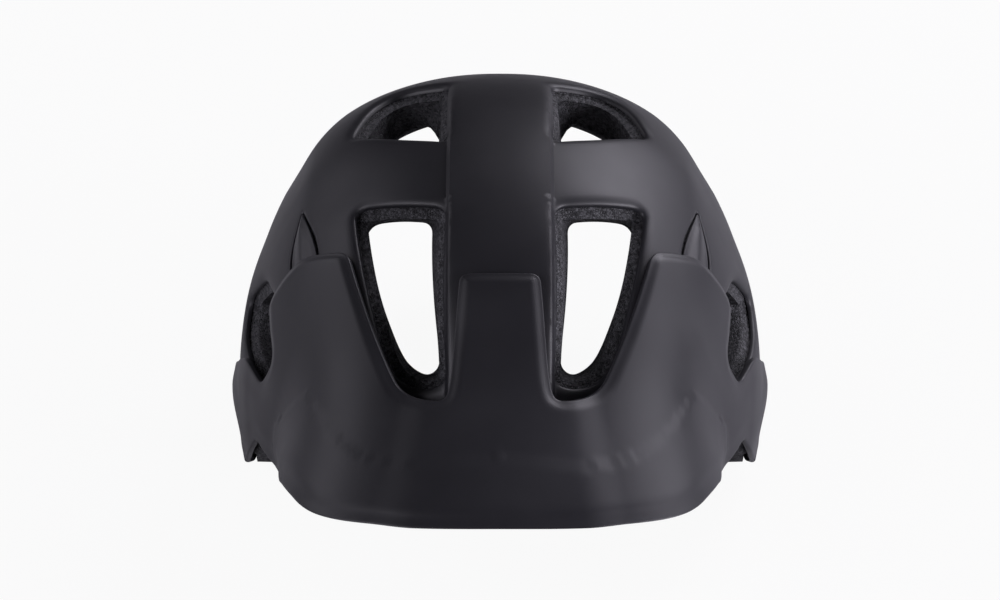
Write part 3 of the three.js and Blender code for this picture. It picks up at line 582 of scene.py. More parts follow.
# ---- shells
SPACING = 2.2
EDGE_STEP = 1.1
SKIN, UNDER_SKIN = 1.0, 1.9  # the skins' thickness, and how far below their face the foam lies
LOWER_FRONT, SEAM_GAP, RIM_OVERLAP = 105.4, 0.6, 1.6
VENT_ROLL, VENT_DROP = 5.0, 2.0  # the skin's rounded edge round a vent
LEDGE, LEDGE_DROP = 3.4, 2.2  # the beaded ledge inside it: its width and its fall
HEM_ROLL, HEM_DROP = 1.6, 0.7  # and along the skin's other edges
LINER_ROLL, LINER_DROP = 3.0, 1.8  # the foam's rounded outer rim
CAVITY_ROLL, CAVITY_DROP = 4.0, 2.2  # and its inner rim and throats


def vent_loops(key="rim"):
    """The rims or throats of all the vents, both sides, with matching points."""
    loops = []
    for vent in VENTS:
        for flip in (False, True):
            corners = vent["corner"][::-1] if flip else vent["corner"]
            points = {k: mirrored(vent[k]) if flip else vent[k] for k in ("rim", "throat")}
            counts = piece_counts(rounded_loop(points["rim"], corners), EDGE_STEP)
            loops.append(divided(rounded_loop(points[key], corners), counts))
    return loops


def bearings_round(step=0.6):
    return np.arange(-180, 180, step)


def blade_loops(grow):
    """The outlines of both blades, grown by a gap."""
    loops = []
    for flip in (False, True):
        points = mirrored(BLADE) if flip else BLADE
        corners = BLADE_CORNER[::-1] if flip else BLADE_CORNER
        loop = rounded_loop(points, corners)
        loop = divided(loop, piece_counts(loop, EDGE_STEP))
        middle = loop.mean(0)
        away = loop - middle
        loops.append(middle + away * (1 + grow / norm(away, axis=1, keepdims=True)))
    return loops


def crease_rows(form_reach):
    """Rows of points along the feet and shoulders of the raised band."""
    rows = []
    for side in (-1, 1):
        for x in (BAND_HALF - BAND_RAMP, BAND_HALF - BAND_RAMP / 2, BAND_HALF, BAND_HALF + 1):
            angle = np.radians(np.arange(-150, 150, math.degrees(SPACING * 0.5 / 130)))
            radius = np.full(len(angle), 125.0)
            for _ in range(12):
                across = np.full(len(angle), side * x)
                p = np.stack([across, -radius * np.sin(angle), radius * np.cos(angle)], -1)
                radius = radius * form_reach(unit(p)) / norm(p, axis=1)
            rows.append(unit(p))
    return rows


def shell_drop(outline, distance, index):
    """The rounded edges: wide round the vents, slight elsewhere."""
    wide = outline.weights[index]
    vent, hem = rolled(distance, VENT_ROLL, VENT_DROP), rolled(distance, HEM_ROLL, HEM_DROP)
    return wide * vent + (1 - wide) * hem


def shell_piece(name, border, holes, vented):
    """A skin inside a border, with sharp-edged holes and openings whose rims roll inwards."""
    loops = [border] + [directions(h) for h in holes] + [directions(v) for v in vented]
    weights = [np.zeros(len(loop)) for loop in (border, *holes)] + [np.ones(len(v)) for v in vented]
    outline = Outline(loops, plain_reach, weights)
    offsets = (0.25, 0.6, 1.1, 1.7, 2.5, 3.5, 4.7)
    d, distance, index, faces = patch(outline, plain_reach, SPACING, offsets, crease_rows(plain_reach))
    top = shell_reach(d) - shell_drop(outline, distance, index)
    return thick_sheet(name, d, top, SKIN, faces)


upper_border = edge_at(UPPER_EDGE, bearings_round(), plain_reach)
upper = shell_piece("shell_upper_skin", upper_border, blade_loops(BLADE_GAP), vent_loops())
dress(upper, shell_look, "helmet", "shell", "shell_upper")


def lower_border():
    """Round the nape: back along the seam and forward again along the rim."""
    top = np.arange(LOWER_FRONT, 360 - LOWER_FRONT, 0.6)
    signed = np.where(top > 180, top - 360, top)
    above = edge_at([(0, SEAM - SEAM_GAP), (180, SEAM - SEAM_GAP)], signed, plain_reach)
    rim = [(b, z + RIM_OVERLAP) for b, z in LINER_RIM]
    under = edge_at(rim, signed, plain_reach)[::-1]
    fronts = []
    for side, (a, b) in ((-1, (above[-1], under[0])), (1, (under[-1], above[0]))):
        share = np.linspace(0, 1, 40)[1:-1, None]
        fronts.append(unit(a + (b - a) * share))
    return np.concatenate([above, fronts[0], under, fronts[1]])[::-1]


lower = shell_piece("shell_lower_skin", lower_border(), [], [])
dress(lower, shell_look, "helmet", "shell", "shell_lower")


# ---- foam liner
def smoothed(vectors):
    """Unit vectors round a loop, averaged with six neighbours each way so that corners fan out."""
    return unit(sum(np.roll(vectors, k, 0) for k in range(-6, 7)))


def channel_depth(d):
    """Air channels sunk into the cavity, from the backs of the top vents to the rear vents."""
    r = reach(CAVITY, d)
    x = np.abs(d[..., 0] * r)
    angle = np.degrees(np.arctan2(d[..., 2], -d[..., 1]))
    near, far, start, end, depth = CHANNEL
    across = smoothstep(x, near - 3, near + 1) * (1 - smoothstep(x, far - 1, far + 3))
    along = smoothstep(angle, start - 3, start + 1) * (1 - smoothstep(angle, end - 1, end + 3))
    return depth * across * along


def liner():
    """One closed body of foam: outer face, cavity, the rim between them and the walls of the vents."""

    def hollow(d):
        return reach(CAVITY, d) + channel_depth(d)

    bearings = bearings_round(0.8)
    rims = [directions(v) for v in vent_loops("rim")]
    throats = [directions(v) for v in vent_loops("throat")]
    ends = {}
    for key, form_reach, loops in (("outer", plain_reach, rims), ("inner", hollow, throats)):
        border = edge_at(LINER_RIM, bearings, form_reach)
        weights = [np.zeros(len(border))] + [np.ones(len(loop)) for loop in loops]
        outline = Outline([border] + loops, form_reach, weights)
        d, distance, index, faces = patch(outline, form_reach, SPACING * 1.3, (0.8, 1.8, 3.2, 5))
        wide = outline.weights[index]
        if key == "outer":
            drop = wide * rolled(distance, VENT_ROLL, VENT_DROP)
            drop += (1 - wide) * rolled(distance, LINER_ROLL, LINER_DROP)
            radius = shell_reach(d) - UNDER_SKIN - drop - ear_tuck(d)
        else:
            radius = hollow(d) + rolled(distance, CAVITY_ROLL, CAVITY_DROP)
            faces = faces[:, ::-1]
        ends[key] = (CENTRE + d * radius[:, None], faces)
        ends[key + "_edge"] = border
    vertices = [ends["outer"][0], ends["inner"][0]]
    faces = [*ends["outer"][1], *(ends["inner"][1] + len(vertices[0]))]
    total = len(vertices[0]) + len(vertices[1])

    def strip(levels):
        """Walls between levels of matching points."""
        nonlocal total
        count = len(levels[0])
        vertices.extend(levels)
        faces.extend(quads(len(levels), count, total))
        total += count * len(levels)

    for rim, throat in zip(rims, throats):
        lip = CENTRE + rim * (shell_reach(rim) - UNDER_SKIN - VENT_DROP)[:, None]
        mouth = CENTRE + throat * (hollow(throat) + CAVITY_DROP)[:, None]
        surface = rim * plain_reach(rim)[:, None]
        along = unit(np.roll(surface, -1, 0) - np.roll(surface, 1, 0))
        inward = unit(np.cross(rim, along)) * np.sign(signed_area(flat(rim)))
        way = unit(surface + smoothed(inward) * LEDGE)
        band = CENTRE + way * (shell_reach(rim) - UNDER_SKIN - VENT_DROP - LEDGE_DROP)[:, None]
        levels = [lip + (band - lip) * s for s in (0, 0.33, 0.67, 1)]
        levels += [band + (mouth - band) * s for s in (0.06, 0.16, 0.32, 0.5, 0.68, 0.84, 1)]
        strip(levels)
    a, b = ends["outer_edge"], ends["inner_edge"]
    outer_end = CENTRE + a * (shell_reach(a) - UNDER_SKIN - LINER_DROP)[:, None]
    inner_end = CENTRE + b * (hollow(b) + CAVITY_DROP)[:, None]
    strip([outer_end + (inner_end - outer_end) * s for s in (0, 0.25, 0.5, 0.75, 1)])
    made = mesh_object("foam_liner_beaded", np.concatenate(vertices), faces, 60, merge=0.02)
    tidy_normals(made)
    return made


dress(liner(), foam_look, "helmet", "foam", "foam_liner")


# ---- visor
BEVEL_RISE, BEVEL_WIDTH = 1.3, 4.4  # along the tongue, notches and wings
BEND_RISE, BEND_WIDTH = 2.0, 9.0  # where the skirt turns down towards the lip
SIDE_BEND = 0.35  # the share of that bend away from the brim
INLAY_THICKNESS, INLAY_RIDGE, INLAY_SLOPE = 0.9, 1.5, 0.28


def spread_round(chosen, per_corner, counts):
    """A weight for each point of a divided loop, from a choice for each corner, evened out."""
    weight = np.repeat(np.repeat(np.array(chosen, float), per_corner), counts)
    window = np.hanning(21)
    wrapped = np.concatenate([weight[-40:], weight, weight[:40]])
    return np.convolve(wrapped, window / window.sum(), "same")[40:-40]


def visor():
    """One moulding: tongue, notches, wings, side panels and brim."""
    corners = VISOR_CORNER + VISOR_CORNER[::-1]
    points = VISOR_HALF + mirrored(VISOR_HALF)
    loop = rounded_loop(points, corners)
    counts = piece_counts(loop, EDGE_STEP)
    per_corner = len(loop) // len(points)
    half = [min(i, len(points) - 1 - i) for i in range(len(points))]
    bevelled = spread_round([i < VISOR_BEVELLED for i in half], per_corner, counts)
    rimmed = spread_round([1 if i >= VISOR_BRIM else SIDE_BEND for i in half], per_corner, counts)
    outline = Outline([directions(divided(loop, counts))], visor_reach)
    offsets = (0.2, 0.5, 0.9, 1.5, 2.3, 3.2, 4.2, 5.2, 6.6, 8.2, 10)
    d, distance, index, faces = patch(outline, visor_reach, SPACING, offsets)
    wide = bevelled[index]
    bevel = BEVEL_RISE * smoothstep(distance, 0.4, BEVEL_WIDTH) - rolled(distance, 0.8, 0.4)
    bend = np.minimum(distance / BEND_WIDTH, 1)
    turned = BEND_RISE * rimmed[index] * (bend - 0.12 * np.sin(np.pi * bend) ** 2)
    turned = turned - rolled(distance, 1.2, 0.6)
    top = visor_reach(d) + wide * bevel + (1 - wide) * turned + panel_bulge(d) - ear_tuck(d)
    top -= PANEL_INSET * smoothstep(np.abs(d[:, 0]), *PANEL_SIDE) * ahead_of_ear(d)
    thinned = PANEL_THINNING * panel_top(d)
    return thick_sheet("visor_moulding", d, top - thinned, VISOR_THICKNESS - 0.55 * thinned, faces)


dress(visor(), visor_look, "visor", "visor", "visor")


def blades():
    """The pointed inlays above the wings, each with a ridge along its middle."""
    tip, base = np.array(BLADE[0], float), (np.array(BLADE[2], float) + np.array(BLADE[3], float)) / 2
    for side, loop in zip(("right", "left"), blade_loops(0)):
        outline = Outline([directions(loop)], plain_reach)
        d, distance, _, faces = patch(outline, plain_reach, 1.2, (0.3, 0.8, 1.4))
        sign = np.array([1 if side == "right" else -1, 1, 1])
        along = unit(base * sign - tip * sign)
        p = d * plain_reach(d)[:, None] + CENTRE - tip * sign
        off = norm(p - (p @ along)[:, None] * along, axis=1)
        ridge = np.clip(INLAY_RIDGE - INLAY_SLOPE * off, -0.6, INLAY_RIDGE) * smoothstep(distance, 0, 4)
        top = plain_reach(d) + ridge - rolled(distance, 0.8, 0.4)
        made = thick_sheet(f"visor_tongue_inlay_{side}", d, top, INLAY_THICKNESS, faces, 30)
        dress(made, visor_look, "visor", "visor", f"visor_tongue_{side}")


blades()

# ---- pads: inflated by a cloth simulation between the cavity and the head
PAD_VOXEL, CHIN_VOXEL = 2.0, 1.0
PAD_PRESSURE, PAD_FRAMES, PAD_CAP, CHIN_CAP = 8.0, 20, 2.0, 0.7
PAD_THICKNESS, PAD_CLEARANCE, NAPE_PAD = 8.0, 1.2, 5.0
RING_CENTRE_Y, CRADLE_INNER = 30.0, 64.4
BINDING = 0.9  # half the width of a pad's bound edge
SEWN_DEPTH, SEWN_WIDTH = 1.3, 1.6


def between(limits, share):
    return limits[0] + (limits[1] - limits[0]) * share


def on_bearings(bearings, rises):
    """Places on the cavity between two bearings and two rises, in degrees; w is 0 towards the head."""

    def place(u, v, w):
        bearing = np.radians(between(bearings, u))
        rise = np.radians(between(rises, v))
        level = np.cos(rise)
        d = np.stack([level * np.sin(bearing), -level * np.cos(bearing), np.sin(rise)], -1)
        r = reach(CAVITY, d) - PAD_CLEARANCE - (1 - w) * PAD_THICKNESS
        return CENTRE + d * r[..., None]

    return place


def on_profile(widths, angles):
    """Places over the crown between two widths and two profile angles, in degrees."""

    def place(u, v, w):
        x = between(widths, u)
        angle = np.radians(between(angles, v))
        y, z = -np.cos(angle), np.sin(angle)
        power = CROWN_POWER * z**2 + np.where(y < 0, BROW_POWER, NAPE_POWER) * (1 - z**2)
        share = (1 - (np.abs(x) / CAVITY["side"]) ** power) ** (1 / power)
        r = profile_reach(CAVITY, y, z) * share - PAD_CLEARANCE - (1 - w) * PAD_THICKNESS
        return np.stack([x, CENTRE[1] + y * r, CENTRE[2] + z * r], -1)

    return place


def on_cradle(bearings, heights):
    """Places against the inside of the fit ring's cradle."""

    def place(u, v, w):
        bearing = np.radians(between(bearings, u))
        radius = CRADLE_INNER - 0.3 - (1 - w) * NAPE_PAD
        height = between(heights, v)
        return np.stack([radius * np.sin(bearing), RING_CENTRE_Y - radius * np.cos(bearing), height], -1)

    return place


def in_box(low, high):
    low, high = np.array(low), np.array(high)
    return lambda u, v, w: low + (high - low) * np.stack([u, v, 1 - w], -1)


def pad_border(size, corner, inset):
    """Points round a rectangle with rounded corners, as shares of its sides."""
    wide, high = size
    points = []
    for cx, cy, turn in ((1, 1, 0), (0, 1, 90), (0, 0, 180), (1, 0, 270)):
        for a in np.radians(turn + np.arange(7) * 15):
            x = abs(cx * wide - corner) + (corner - inset) * math.cos(a)
            y = abs(cy * high - corner) + (corner - inset) * math.sin(a)
            points.append((x / wide, y / high))
    loop = np.array(points)
    following = np.roll(loop, -1, 0)
    lengths = norm((following - loop) * size, axis=1)
    counts = np.maximum(1, np.round(lengths / 1.5)).astype(int)
    return divided(loop, counts)


def pad_block(place, size, corner):
    """A slim cushion with rounded corners to inflate: rings from the middle out and round the edge."""
    border = pad_border(size, corner, 0.9)
    count = len(border)
    middle = np.array([0.5, 0.5])
    rings = [(0.25, 0.80), (0.5, 0.80), (0.75, 0.78), (0.9, 0.72), (0.97, 0.62), (1.0, 0.5)]
    levels = rings + [(s, 1 - h) for s, h in reversed(rings[:-1])]
    vertices = []
    for s, h in levels:
        uv = middle + (border - middle) * s
        vertices.append(place(uv[:, 0], uv[:, 1], np.full(count, h)))
    faces = quads(len(levels), count)
    total = len(levels) * count
    for h, base in ((rings[0][1], 0), (1 - rings[0][1], (len(levels) - 1) * count)):
        vertices.append(place(np.array([0.5]), np.array([0.5]), np.array([h])))
        ring = [base + i for i in range(count)]
        faces += [(total, a, b) for a, b in zip(ring, ring[1:] + ring[:1])]
        total += 1
    return np.concatenate(vertices), faces


def applied(obj):
    """Bakes an object's modifiers into its mesh."""
    shaped = obj.evaluated_get(bpy.context.evaluated_depsgraph_get())
    mesh = bpy.data.meshes.new_from_object(shaped)
    obj.modifiers.clear()
    obj.data = mesh
    return mesh


def coordinates(mesh):
    values = np.zeros(len(mesh.vertices) * 3)
    mesh.vertices.foreach_get("co", values)
    return values.reshape(-1, 3)


def inflated(obj, voxel, cap):
    """Remeshes a closed piece evenly and blows it up as cloth, no point moving further than the cap."""
    remesh = obj.modifiers.new("even", "REMESH")
    remesh.mode = "VOXEL"
    remesh.voxel_size = voxel * MM
    start = coordinates(applied(obj))
    cloth = obj.modifiers.new("cloth", "CLOTH")
    settings = cloth.settings
    settings.use_pressure = True
    settings.uniform_pressure_force = PAD_PRESSURE
    settings.quality = 8
    settings.effector_weights.gravity = 0
    cloth.point_cache.frame_end = PAD_FRAMES + 1
    for frame_number in range(1, PAD_FRAMES + 1):
        bpy.context.scene.frame_set(frame_number)
    mesh = applied(obj)
    moved = coordinates(mesh) - start
    length = norm(moved, axis=1, keepdims=True)
    kept = start + moved * np.minimum(1, cap * MM / np.maximum(length, 1e-9))
    mesh.vertices.foreach_set("co", kept.ravel())
    mesh.update()
    bpy.context.scene.frame_set(1)


def piping(name, path, radius):
    """The bound edge that runs round a pad: a closed tube, flattened a little."""
    count, sides = len(path), 10
    along = unit(np.roll(path, -1, 0) - np.roll(path, 1, 0))
    out = unit(np.cross(along, unit(path - path.mean(0))))
    across = np.cross(out, along)
    turns = [2 * math.pi * k / sides for k in range(sides)]
    vertices = [path + radius * (math.cos(a) * across + 0.8 * math.sin(a) * out) for a in turns]
    return mesh_object(name, np.concatenate(vertices), quads(sides, count, wrap_rows=True), 80)


def knitted_fabric(name, base):
    """Brushed knit over foam: fine loops in rows, a little fluff, and a soft sheen."""
    look = Look(name, base, 0.9, Sheen_Weight=0.35, Sheen_Roughness=0.5)
    loops = look.cells(900, randomness=0.35)
    fluff = look.noise(420, 5)
    lighter = tuple(c * 1.8 for c in base)
    look.colour(look.blend(look.ramp(fluff, 0.35, 0.65, 0, 1), base, lighter))
    look.gloss(look.ramp(look.noise(60, 3), 0.3, 0.7, 0.82, 0.97))
    look.bump(look.ramp(loops, 0, 0.7, 1, 0), 0.00035)
    look.bump(fluff, 0.0002)
    return look


pad_look = knitted_fabric("pad_knit", (0.016, 0.016, 0.019))
piping_look = knitted_fabric("pad_binding", (0.009, 0.009, 0.010))

CHIN_Y, CHIN_Z, CHIN_STITCHES = 3.5, 2.2, 58.0
PADS = [
    ("pad_brow", on_bearings((-52, 52), (17.5, 25.5)), (150, 13.5), 5, "helmet", [0.25, 0.5, 0.75]),
    ("pad_crown_front", on_profile((-15, 15), (42, 74)), (30, 54), 8, "helmet", []),
    ("pad_crown_rear", on_profile((-15, 15), (86, 126)), (30, 70), 8, "helmet", []),
    ("pad_side_left", on_bearings((-100, -68), (39, 48)), (38, 15), 6, "helmet", [0.5]),
    ("pad_side_right", on_bearings((68, 100), (39, 48)), (38, 15), 6, "helmet", [0.5]),
    ("pad_nape_left", on_cradle((-164, -177), (46, 74)), (14, 28), 5, "fit_ring", []),
    ("pad_nape_right", on_cradle((164, 177), (46, 74)), (14, 28), 5, "fit_ring", []),
]


def sewn_channels(obj, place, channels):
    """Presses sewn lines into the face of a pad that touches the head."""
    mesh = obj.data
    points = coordinates(mesh) / MM
    v = np.linspace(0, 1, 9)
    for u in channels:
        line = place(np.full(9, u), v, np.full(9, 0.0))
        back = place(np.full(9, u), v, np.full(9, 1.0))
        offset = points[:, None] - line[None]
        near = np.argmin(norm(offset, axis=2), 1)
        through = unit(back - line)[near]
        beside = np.roll(line, -1, 0)[np.minimum(near, 7)] - line[np.minimum(near, 7)]
        side = unit(np.cross(through, beside))
        rows = np.arange(len(points))
        apart = np.sum(offset[rows, near] * side, 1)
        level = np.sum(offset[rows, near] * through, 1) / norm(back - line, axis=1)[near]
        share = np.exp(-((apart / SEWN_WIDTH) ** 2)) * (1 - smoothstep(level, 0.3, 0.55))
        points = points + through * (SEWN_DEPTH * share)[:, None]
    mesh.vertices.foreach_set("co", (points * MM).ravel())
    mesh.update()


def smooth_over(obj):
    """One subdivision, as a voxel remesh leaves a stepped surface."""
    relax = obj.modifiers.new("relax", "SMOOTH")
    relax.factor, relax.iterations = 0.5, 4
    finer = obj.modifiers.new("finer", "SUBSURF")
    finer.levels = finer.render_levels = 1
    mesh = applied(obj)
    shade_smooth(mesh)


def cushion(name, place, size, corner, voxel, cap):
    made = mesh_object(name + "_cushion", *pad_block(place, size, corner))
    tidy_normals(made)
    inflated(made, voxel, cap)
    smooth_over(made)
    return made


def pads():
    for name, place, size, corner, body, channels in PADS:
        made = cushion(name, place, size, corner, PAD_VOXEL, PAD_CAP)
        sewn_channels(made, place, channels)
        dress(made, pad_look, body, "padding", name)
        edge = pad_border(size, corner, 0.5)
        path = place(edge[:, 0], edge[:, 1], np.full(len(edge), 0.5))
        dress(piping(name + "_binding", path, BINDING), piping_look, body, "padding")


def chin_pad():
    place = in_box((-44.5, CHIN_Y - 10, CHIN_Z + 0.9), (-30, CHIN_Y + 10, CHIN_Z + 4.4))
    made = cushion("pad_chin", place, (14.5, 20), 4, CHIN_VOXEL, CHIN_CAP)
    dress(made, pad_look, "helmet", "padding", "pad_chin")


pads()
chin_pad()

# ---- webbing
WEB_WIDTH, WEB_THICKNESS, WEB_STEP = 15.0, 1.2, 1.2


def smooth_route(points):
    """A smooth curve through points, sampled evenly."""
    points = np.array(points, float)
    ends = np.concatenate([[2 * points[0] - points[1]], points, [2 * points[-1] - points[-2]]])
    made = []
    for a, b, c, d in zip(ends, ends[1:], ends[2:], ends[3:]):
        pieces = max(2, int(norm((c - b)[:3]) / WEB_STEP))
        for t in np.arange(pieces) / pieces:
            curve = (2 * a - 5 * b + 4 * c - d) * t**2 + (3 * b - a - 3 * c + d) * t**3
            made.append(0.5 * (2 * b + (c - a) * t + curve))
    return np.array(made + [points[-1]])


def strap(name, route, node):
    """Flat webbing with thick woven edges along a route of points and width directions."""
    line = smooth_route([(*p, *d) for p, d in route])
    points, wide = line[:, :3], line[:, 3:]
    along = unit(np.gradient(points, axis=0))
    wide = unit(wide - along * np.sum(wide * along, 1)[:, None])
    normal = np.cross(along, wide)
    travelled = np.concatenate([[0], np.cumsum(norm(np.diff(points, axis=0), axis=1))])
    sides = 44
    angles = 2 * np.pi * np.arange(sides) / sides
    across = np.sign(np.cos(angles)) * np.abs(np.cos(angles)) ** 0.7
    lift = np.sign(np.sin(angles)) * np.abs(np.sin(angles)) ** 0.35
    body_height = 0.80 + 0.2 * smoothstep(np.abs(across), 0.80, 0.86)
    vertices, weave = [], []
    for a, h in zip(across, lift * body_height):
        lifted = normal * (h * WEB_THICKNESS / 2 * 0.96)
        vertices.append(points + wide * (a * WEB_WIDTH / 2 * 0.985) + lifted)
        weave.append(np.stack([travelled, np.full(len(points), a * WEB_WIDTH / 2), 0 * travelled], -1))
    count = len(points)
    faces = quads(sides, count, wrap_rows=True, wrap=False)
    faces.append([k * count for k in range(sides)])
    faces.append([k * count + count - 1 for k in reversed(range(sides))])
    made = mesh_object(name, np.concatenate(vertices), faces, 60)
    layer = made.data.attributes.new("weave", "FLOAT_VECTOR", "POINT")
    layer.data.foreach_set("vector", np.concatenate(weave).ravel())
    tidy_normals(made)
    dress(made, webbing_look, "helmet", "webbing", node)
    return points, wide, normal


def woven_webbing():
    """Twill webbing: slanting ribs that meet in chevrons down the middle, and plain edges, with painted
    shade in the grooves and painted highlight on the ribs.
    """
    base = (0.010, 0.010, 0.012)
    look = Look("webbing_twill", base, 0.82, Sheen_Weight=0.15)
    place = look.node("ShaderNodeAttribute", attribute_name="weave")
    parts = look.node("ShaderNodeSeparateXYZ")
    look.link(place.outputs["Vector"], parts.inputs[0])

    def maths(kind, a, b):
        made = look.node("ShaderNodeMath")
        made.operation = kind
        for socket, value in zip(made.inputs, (a, b)):
            if isinstance(value, (int, float)):
                socket.default_value = value
            else:
                look.link(value, socket)
        return made.outputs[0]

    slant = maths("ADD", parts.outputs[0], maths("ABSOLUTE", parts.outputs[1], 0))
    ribs = maths("SINE", maths("MULTIPLY", slant, 2 * math.pi / 1.1), 0)
    yarns = maths("SINE", maths("MULTIPLY", parts.outputs[1], 2 * math.pi / 0.55), 0)
    height = maths("ADD", maths("MULTIPLY", ribs, 0.65), maths("MULTIPLY", yarns, 0.35))
    share = look.ramp(height, -1, 1, 0, 1)
    # painted shade and highlight: the colour follows the rib height, darker in the grooves and lighter
    # on the crests
    look.colour(look.blend(share, tuple(c * 0.6 for c in base), tuple(c * 2.1 for c in base)))
    look.gloss(look.ramp(look.noise(90, 3), 0.3, 0.7, 0.74, 0.9))
    look.bump(share, 0.00022)
    look.bump(look.noise(2500, 2), 0.00005)
    return look


webbing_look = woven_webbing()
thread_look = satin_plastic("sewing_thread", (0.03, 0.03, 0.034), 0.6, 0.00002)


STITCH_LENGTH, STITCH_RADIUS, STITCH_ROW, STITCH_COLUMN = 2.0, 0.22, 1.6, 2.5


def bartack(name, at, wide, normal, along):
    """Rows of thick sewing thread across the webbing, standing a little proud of it."""
    vertices, faces = [], []
    for row in (-1, 0, 1):
        for column in (-2, -1, 0, 1, 2):
            middle = at + along * row * STITCH_ROW + wide * column * STITCH_COLUMN
            first = len(vertices)
            for t in np.linspace(-1, 1, 7):
                girth = STITCH_RADIUS * math.sqrt(max(1 - t**2, 0.04))
                for k in range(8):
                    a = 2 * math.pi * k / 8
                    offset = wide * t * STITCH_LENGTH / 2
                    offset = offset + girth * (math.cos(a) * along + math.sin(a) * normal)
                    vertices.append(middle + normal * (WEB_THICKNESS / 2 - 0.08) + offset)
            faces += quads(7, 8, first)
            faces.append([first + k for k in range(8)])
            faces.append([first + 48 + k for k in reversed(range(8))])
    made = mesh_object(name, vertices, faces)
    tidy_normals(made)
    dress(made, thread_look, "helmet", "webbing")


FRONT_STRAP = [
    ((71.6, -29, 47), (0, 1, 0.9)),
    ((71.2, -22, 36), (0, 1, 0.8)),
    ((70.8, -13, 24), (0, 1, 0.75)),
    ((70.6, -5, 13.5), (0, 1, 0.6)),
]
REAR_STRAP = [
    ((65, 76, 41), (0.4, -0.5, 1)),
    ((68.6, 60, 30), (0.2, -0.5, 1)),
    ((70, 42, 20.5), (0, -0.5, 1)),
    ((70.4, 26, 13.5), (0, -0.3, 1)),
    ((70.6, 15.5, 10), (0, -0.2, 1)),
]


def harness():
    """Front and rear webbing on each side, mirrored, and the two lengths under the chin."""
    for side, sign in (("left", -1), ("right", 1)):
        for part, route in (("front", FRONT_STRAP), ("rear", REAR_STRAP)):
            turned = [((sign * p[0], p[1], p[2]), (sign * d[0], d[1], d[2])) for p, d in route]
            points, wide, normal = strap(f"strap_{part}_{side}_web", turned, f"strap_{part}_{side}")
            k = len(points) - 6
            facing = normal[k] * np.sign(normal[k][0] * sign)
            along = unit(points[k + 1] - points[k])
            bartack(f"strap_{part}_{side}_stitches", points[k], wide[k], facing, along)
    for side, stations in (("right", (67, 50, 32, 14)), ("left", (-67, -54, -41, -28.3))):
        route = [((x, CHIN_Y, CHIN_Z), (0, 1, 0)) for x in stations]
        strap(f"strap_chin_{side}_web", route, f"strap_chin_{side}")
        along, wide, normal = np.eye(3)
        at = np.array([CHIN_STITCHES if side == "right" else -CHIN_STITCHES, CHIN_Y, CHIN_Z])
        bartack(f"strap_chin_{side}_stitches", at, wide, normal, along)


harness()

# ---- the moulded parts keep the frame's shapes, with rounded edges
ROUNDING = dict(dial_knob=0.7, buckle_socket=1.1, buckle_tab=0.9, dial_housing=1.2, strap_keeper=0.6)
OTHER_ROUNDING = 0.35
knob_look = satin_plastic("knob_rubber", (0.011, 0.011, 0.012), 0.62, 0.00004)
for name, node in nodes.items():
    if node.hide_render:
        continue
    node.data.materials.clear()
    node.data.materials.append((knob_look if name == "dial_knob" else nylon_look).material)
    shade_smooth(node.data)
    node.data.set_sharp_from_angle(angle=math.radians(35))
    rounding = node.modifiers.new("rounded_edges", "BEVEL")
    rounding.width = ROUNDING.get(name, OTHER_ROUNDING) * MM
    rounding.segments = 3
    rounding.limit_method = "ANGLE"
    rounding.angle_limit = math.radians(40)
    rounding.use_clamp_overlap = True

# ---- floor, light and camera
FLOOR, FLOOR_DROP, FLOOR_GLOW, AMBIENT = 4.0, -0.0003, 0.93, 0.015
LAMP_COLOUR = (0.93, 0.90, 1.0)
mesh = bpy.data.meshes.new("floor")
corners = [(-FLOOR, -FLOOR, 0), (FLOOR, -FLOOR, 0), (FLOOR, FLOOR, 0), (-FLOOR, FLOOR, 0)]
mesh.from_pydata(corners, [], [(0, 1, 2, 3)])
floor = bpy.data.objects.new("floor", mesh)
floor.location.z = FLOOR_DROP
bpy.context.scene.collection.objects.link(floor)
pale = bpy.data.materials.new("floor_white")
pale.use_nodes = True
tree = pale.node_tree
tree.nodes.clear()
paths, matt, glow, share, mix, out = (
    tree.nodes.new("ShaderNode" + kind)
    for kind in ("LightPath", "BsdfDiffuse", "Emission", "Math", "MixShader", "OutputMaterial")
)
matt.inputs["Color"].default_value = (0.7, 0.7, 0.7, 1)
share.operation = "MULTIPLY"
share.inputs[1].default_value = FLOOR_GLOW
for source, end in (
    (paths.outputs["Is Camera Ray"], share.inputs[0]),
    (share.outputs[0], mix.inputs[0]),
    (matt.outputs[0], mix.inputs[1]),
    (glow.outputs[0], mix.inputs[2]),
    (mix.outputs[0], out.inputs[0]),
):
    tree.links.new(source, end)
mesh.materials.append(pale)

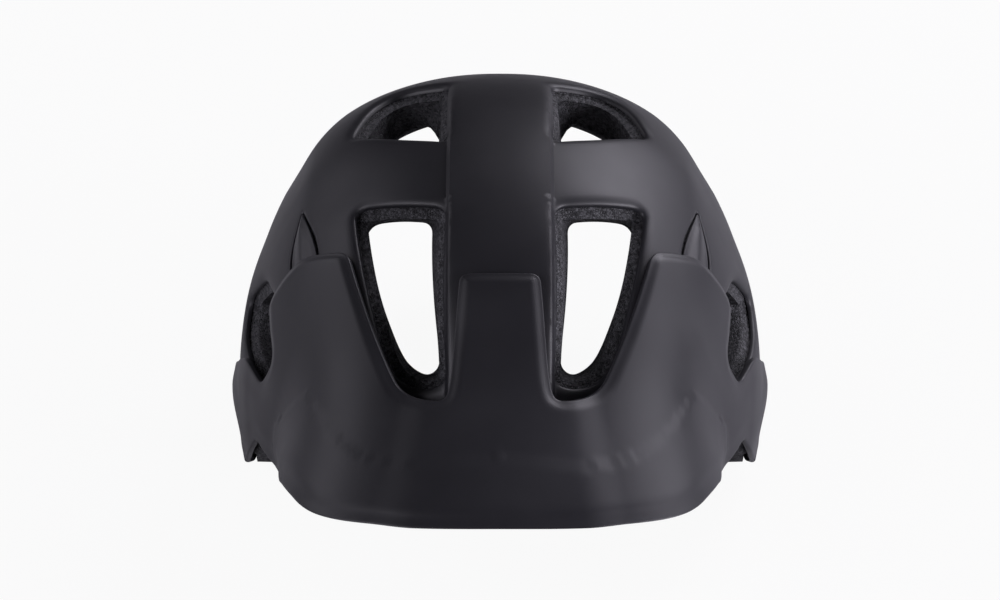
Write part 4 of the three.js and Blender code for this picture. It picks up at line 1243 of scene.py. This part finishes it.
world = bpy.data.worlds.new("studio")
bpy.context.scene.world = world
world.use_nodes = True
tree = world.node_tree
backdrop = tree.nodes["Background"]
backdrop.inputs["Color"].default_value = (1, 1, 1, 1)
paths = tree.nodes.new("ShaderNodeLightPath")
level = tree.nodes.new("ShaderNodeMapRange")
level.inputs["To Min"].default_value = AMBIENT
level.inputs["To Max"].default_value = 1.0
tree.links.new(paths.outputs["Is Camera Ray"], level.inputs["Value"])
tree.links.new(level.outputs["Result"], backdrop.inputs["Strength"])


def softbox(name, location, target, size, power):
    """A rectangular lamp aimed at a point, in metres and watts."""
    data = bpy.data.lights.new(name, "AREA")
    data.shape = "RECTANGLE"
    data.size, data.size_y = size
    data.energy = power
    data.color = LAMP_COLOUR
    lamp = bpy.data.objects.new(name, data)
    lamp.location = location
    aim = Vector(target) - Vector(location)
    lamp.rotation_mode = "QUATERNION"
    lamp.rotation_quaternion = aim.to_track_quat("-Z", "Y")
    bpy.context.scene.collection.objects.link(lamp)


MIDDLE = (0, 0, 0.07)
softbox("right_low", (1.7, -0.7, 0.3), MIDDLE, (0.8, 0.8), 33)
softbox("right_side", (1.6, -0.2, 0.7), MIDDLE, (1.2, 1.2), 6)
softbox("left_front", (-1.3, -1.1, 0.9), MIDDLE, (1.0, 1.0), 14)
softbox("left_side", (-1.6, 0, 0.7), MIDDLE, (1.2, 1.2), 3)
softbox("right_back", (1.2, 0.9, 1.0), MIDDLE, (1.0, 1.0), 8)
softbox("right_back_high", (0.75, 1.2, 1.2), MIDDLE, (0.7, 0.7), 9)
softbox("left_back", (-1.3, 0.9, 0.9), MIDDLE, (1.0, 1.0), 3)

bpy.context.scene.view_settings.view_transform = "Standard"

camera_data = bpy.data.cameras.new("camera")
camera = bpy.data.objects.new("camera", camera_data)
bpy.context.scene.collection.objects.link(camera)
bpy.context.scene.camera = camera
CAMERA_RISE = math.radians(33)
CAMERA_AWAY = 1.5
VIEW_WIDTH = 0.414  # of the picture, at the helmet
camera.location = (0, -CAMERA_AWAY * math.cos(CAMERA_RISE), 0.075 + CAMERA_AWAY * math.sin(CAMERA_RISE))
camera.rotation_euler = (math.pi / 2 - CAMERA_RISE, 0, 0)
camera_data.lens = camera_data.sensor_width * CAMERA_AWAY / VIEW_WIDTH
camera_data.shift_y = 0.0176
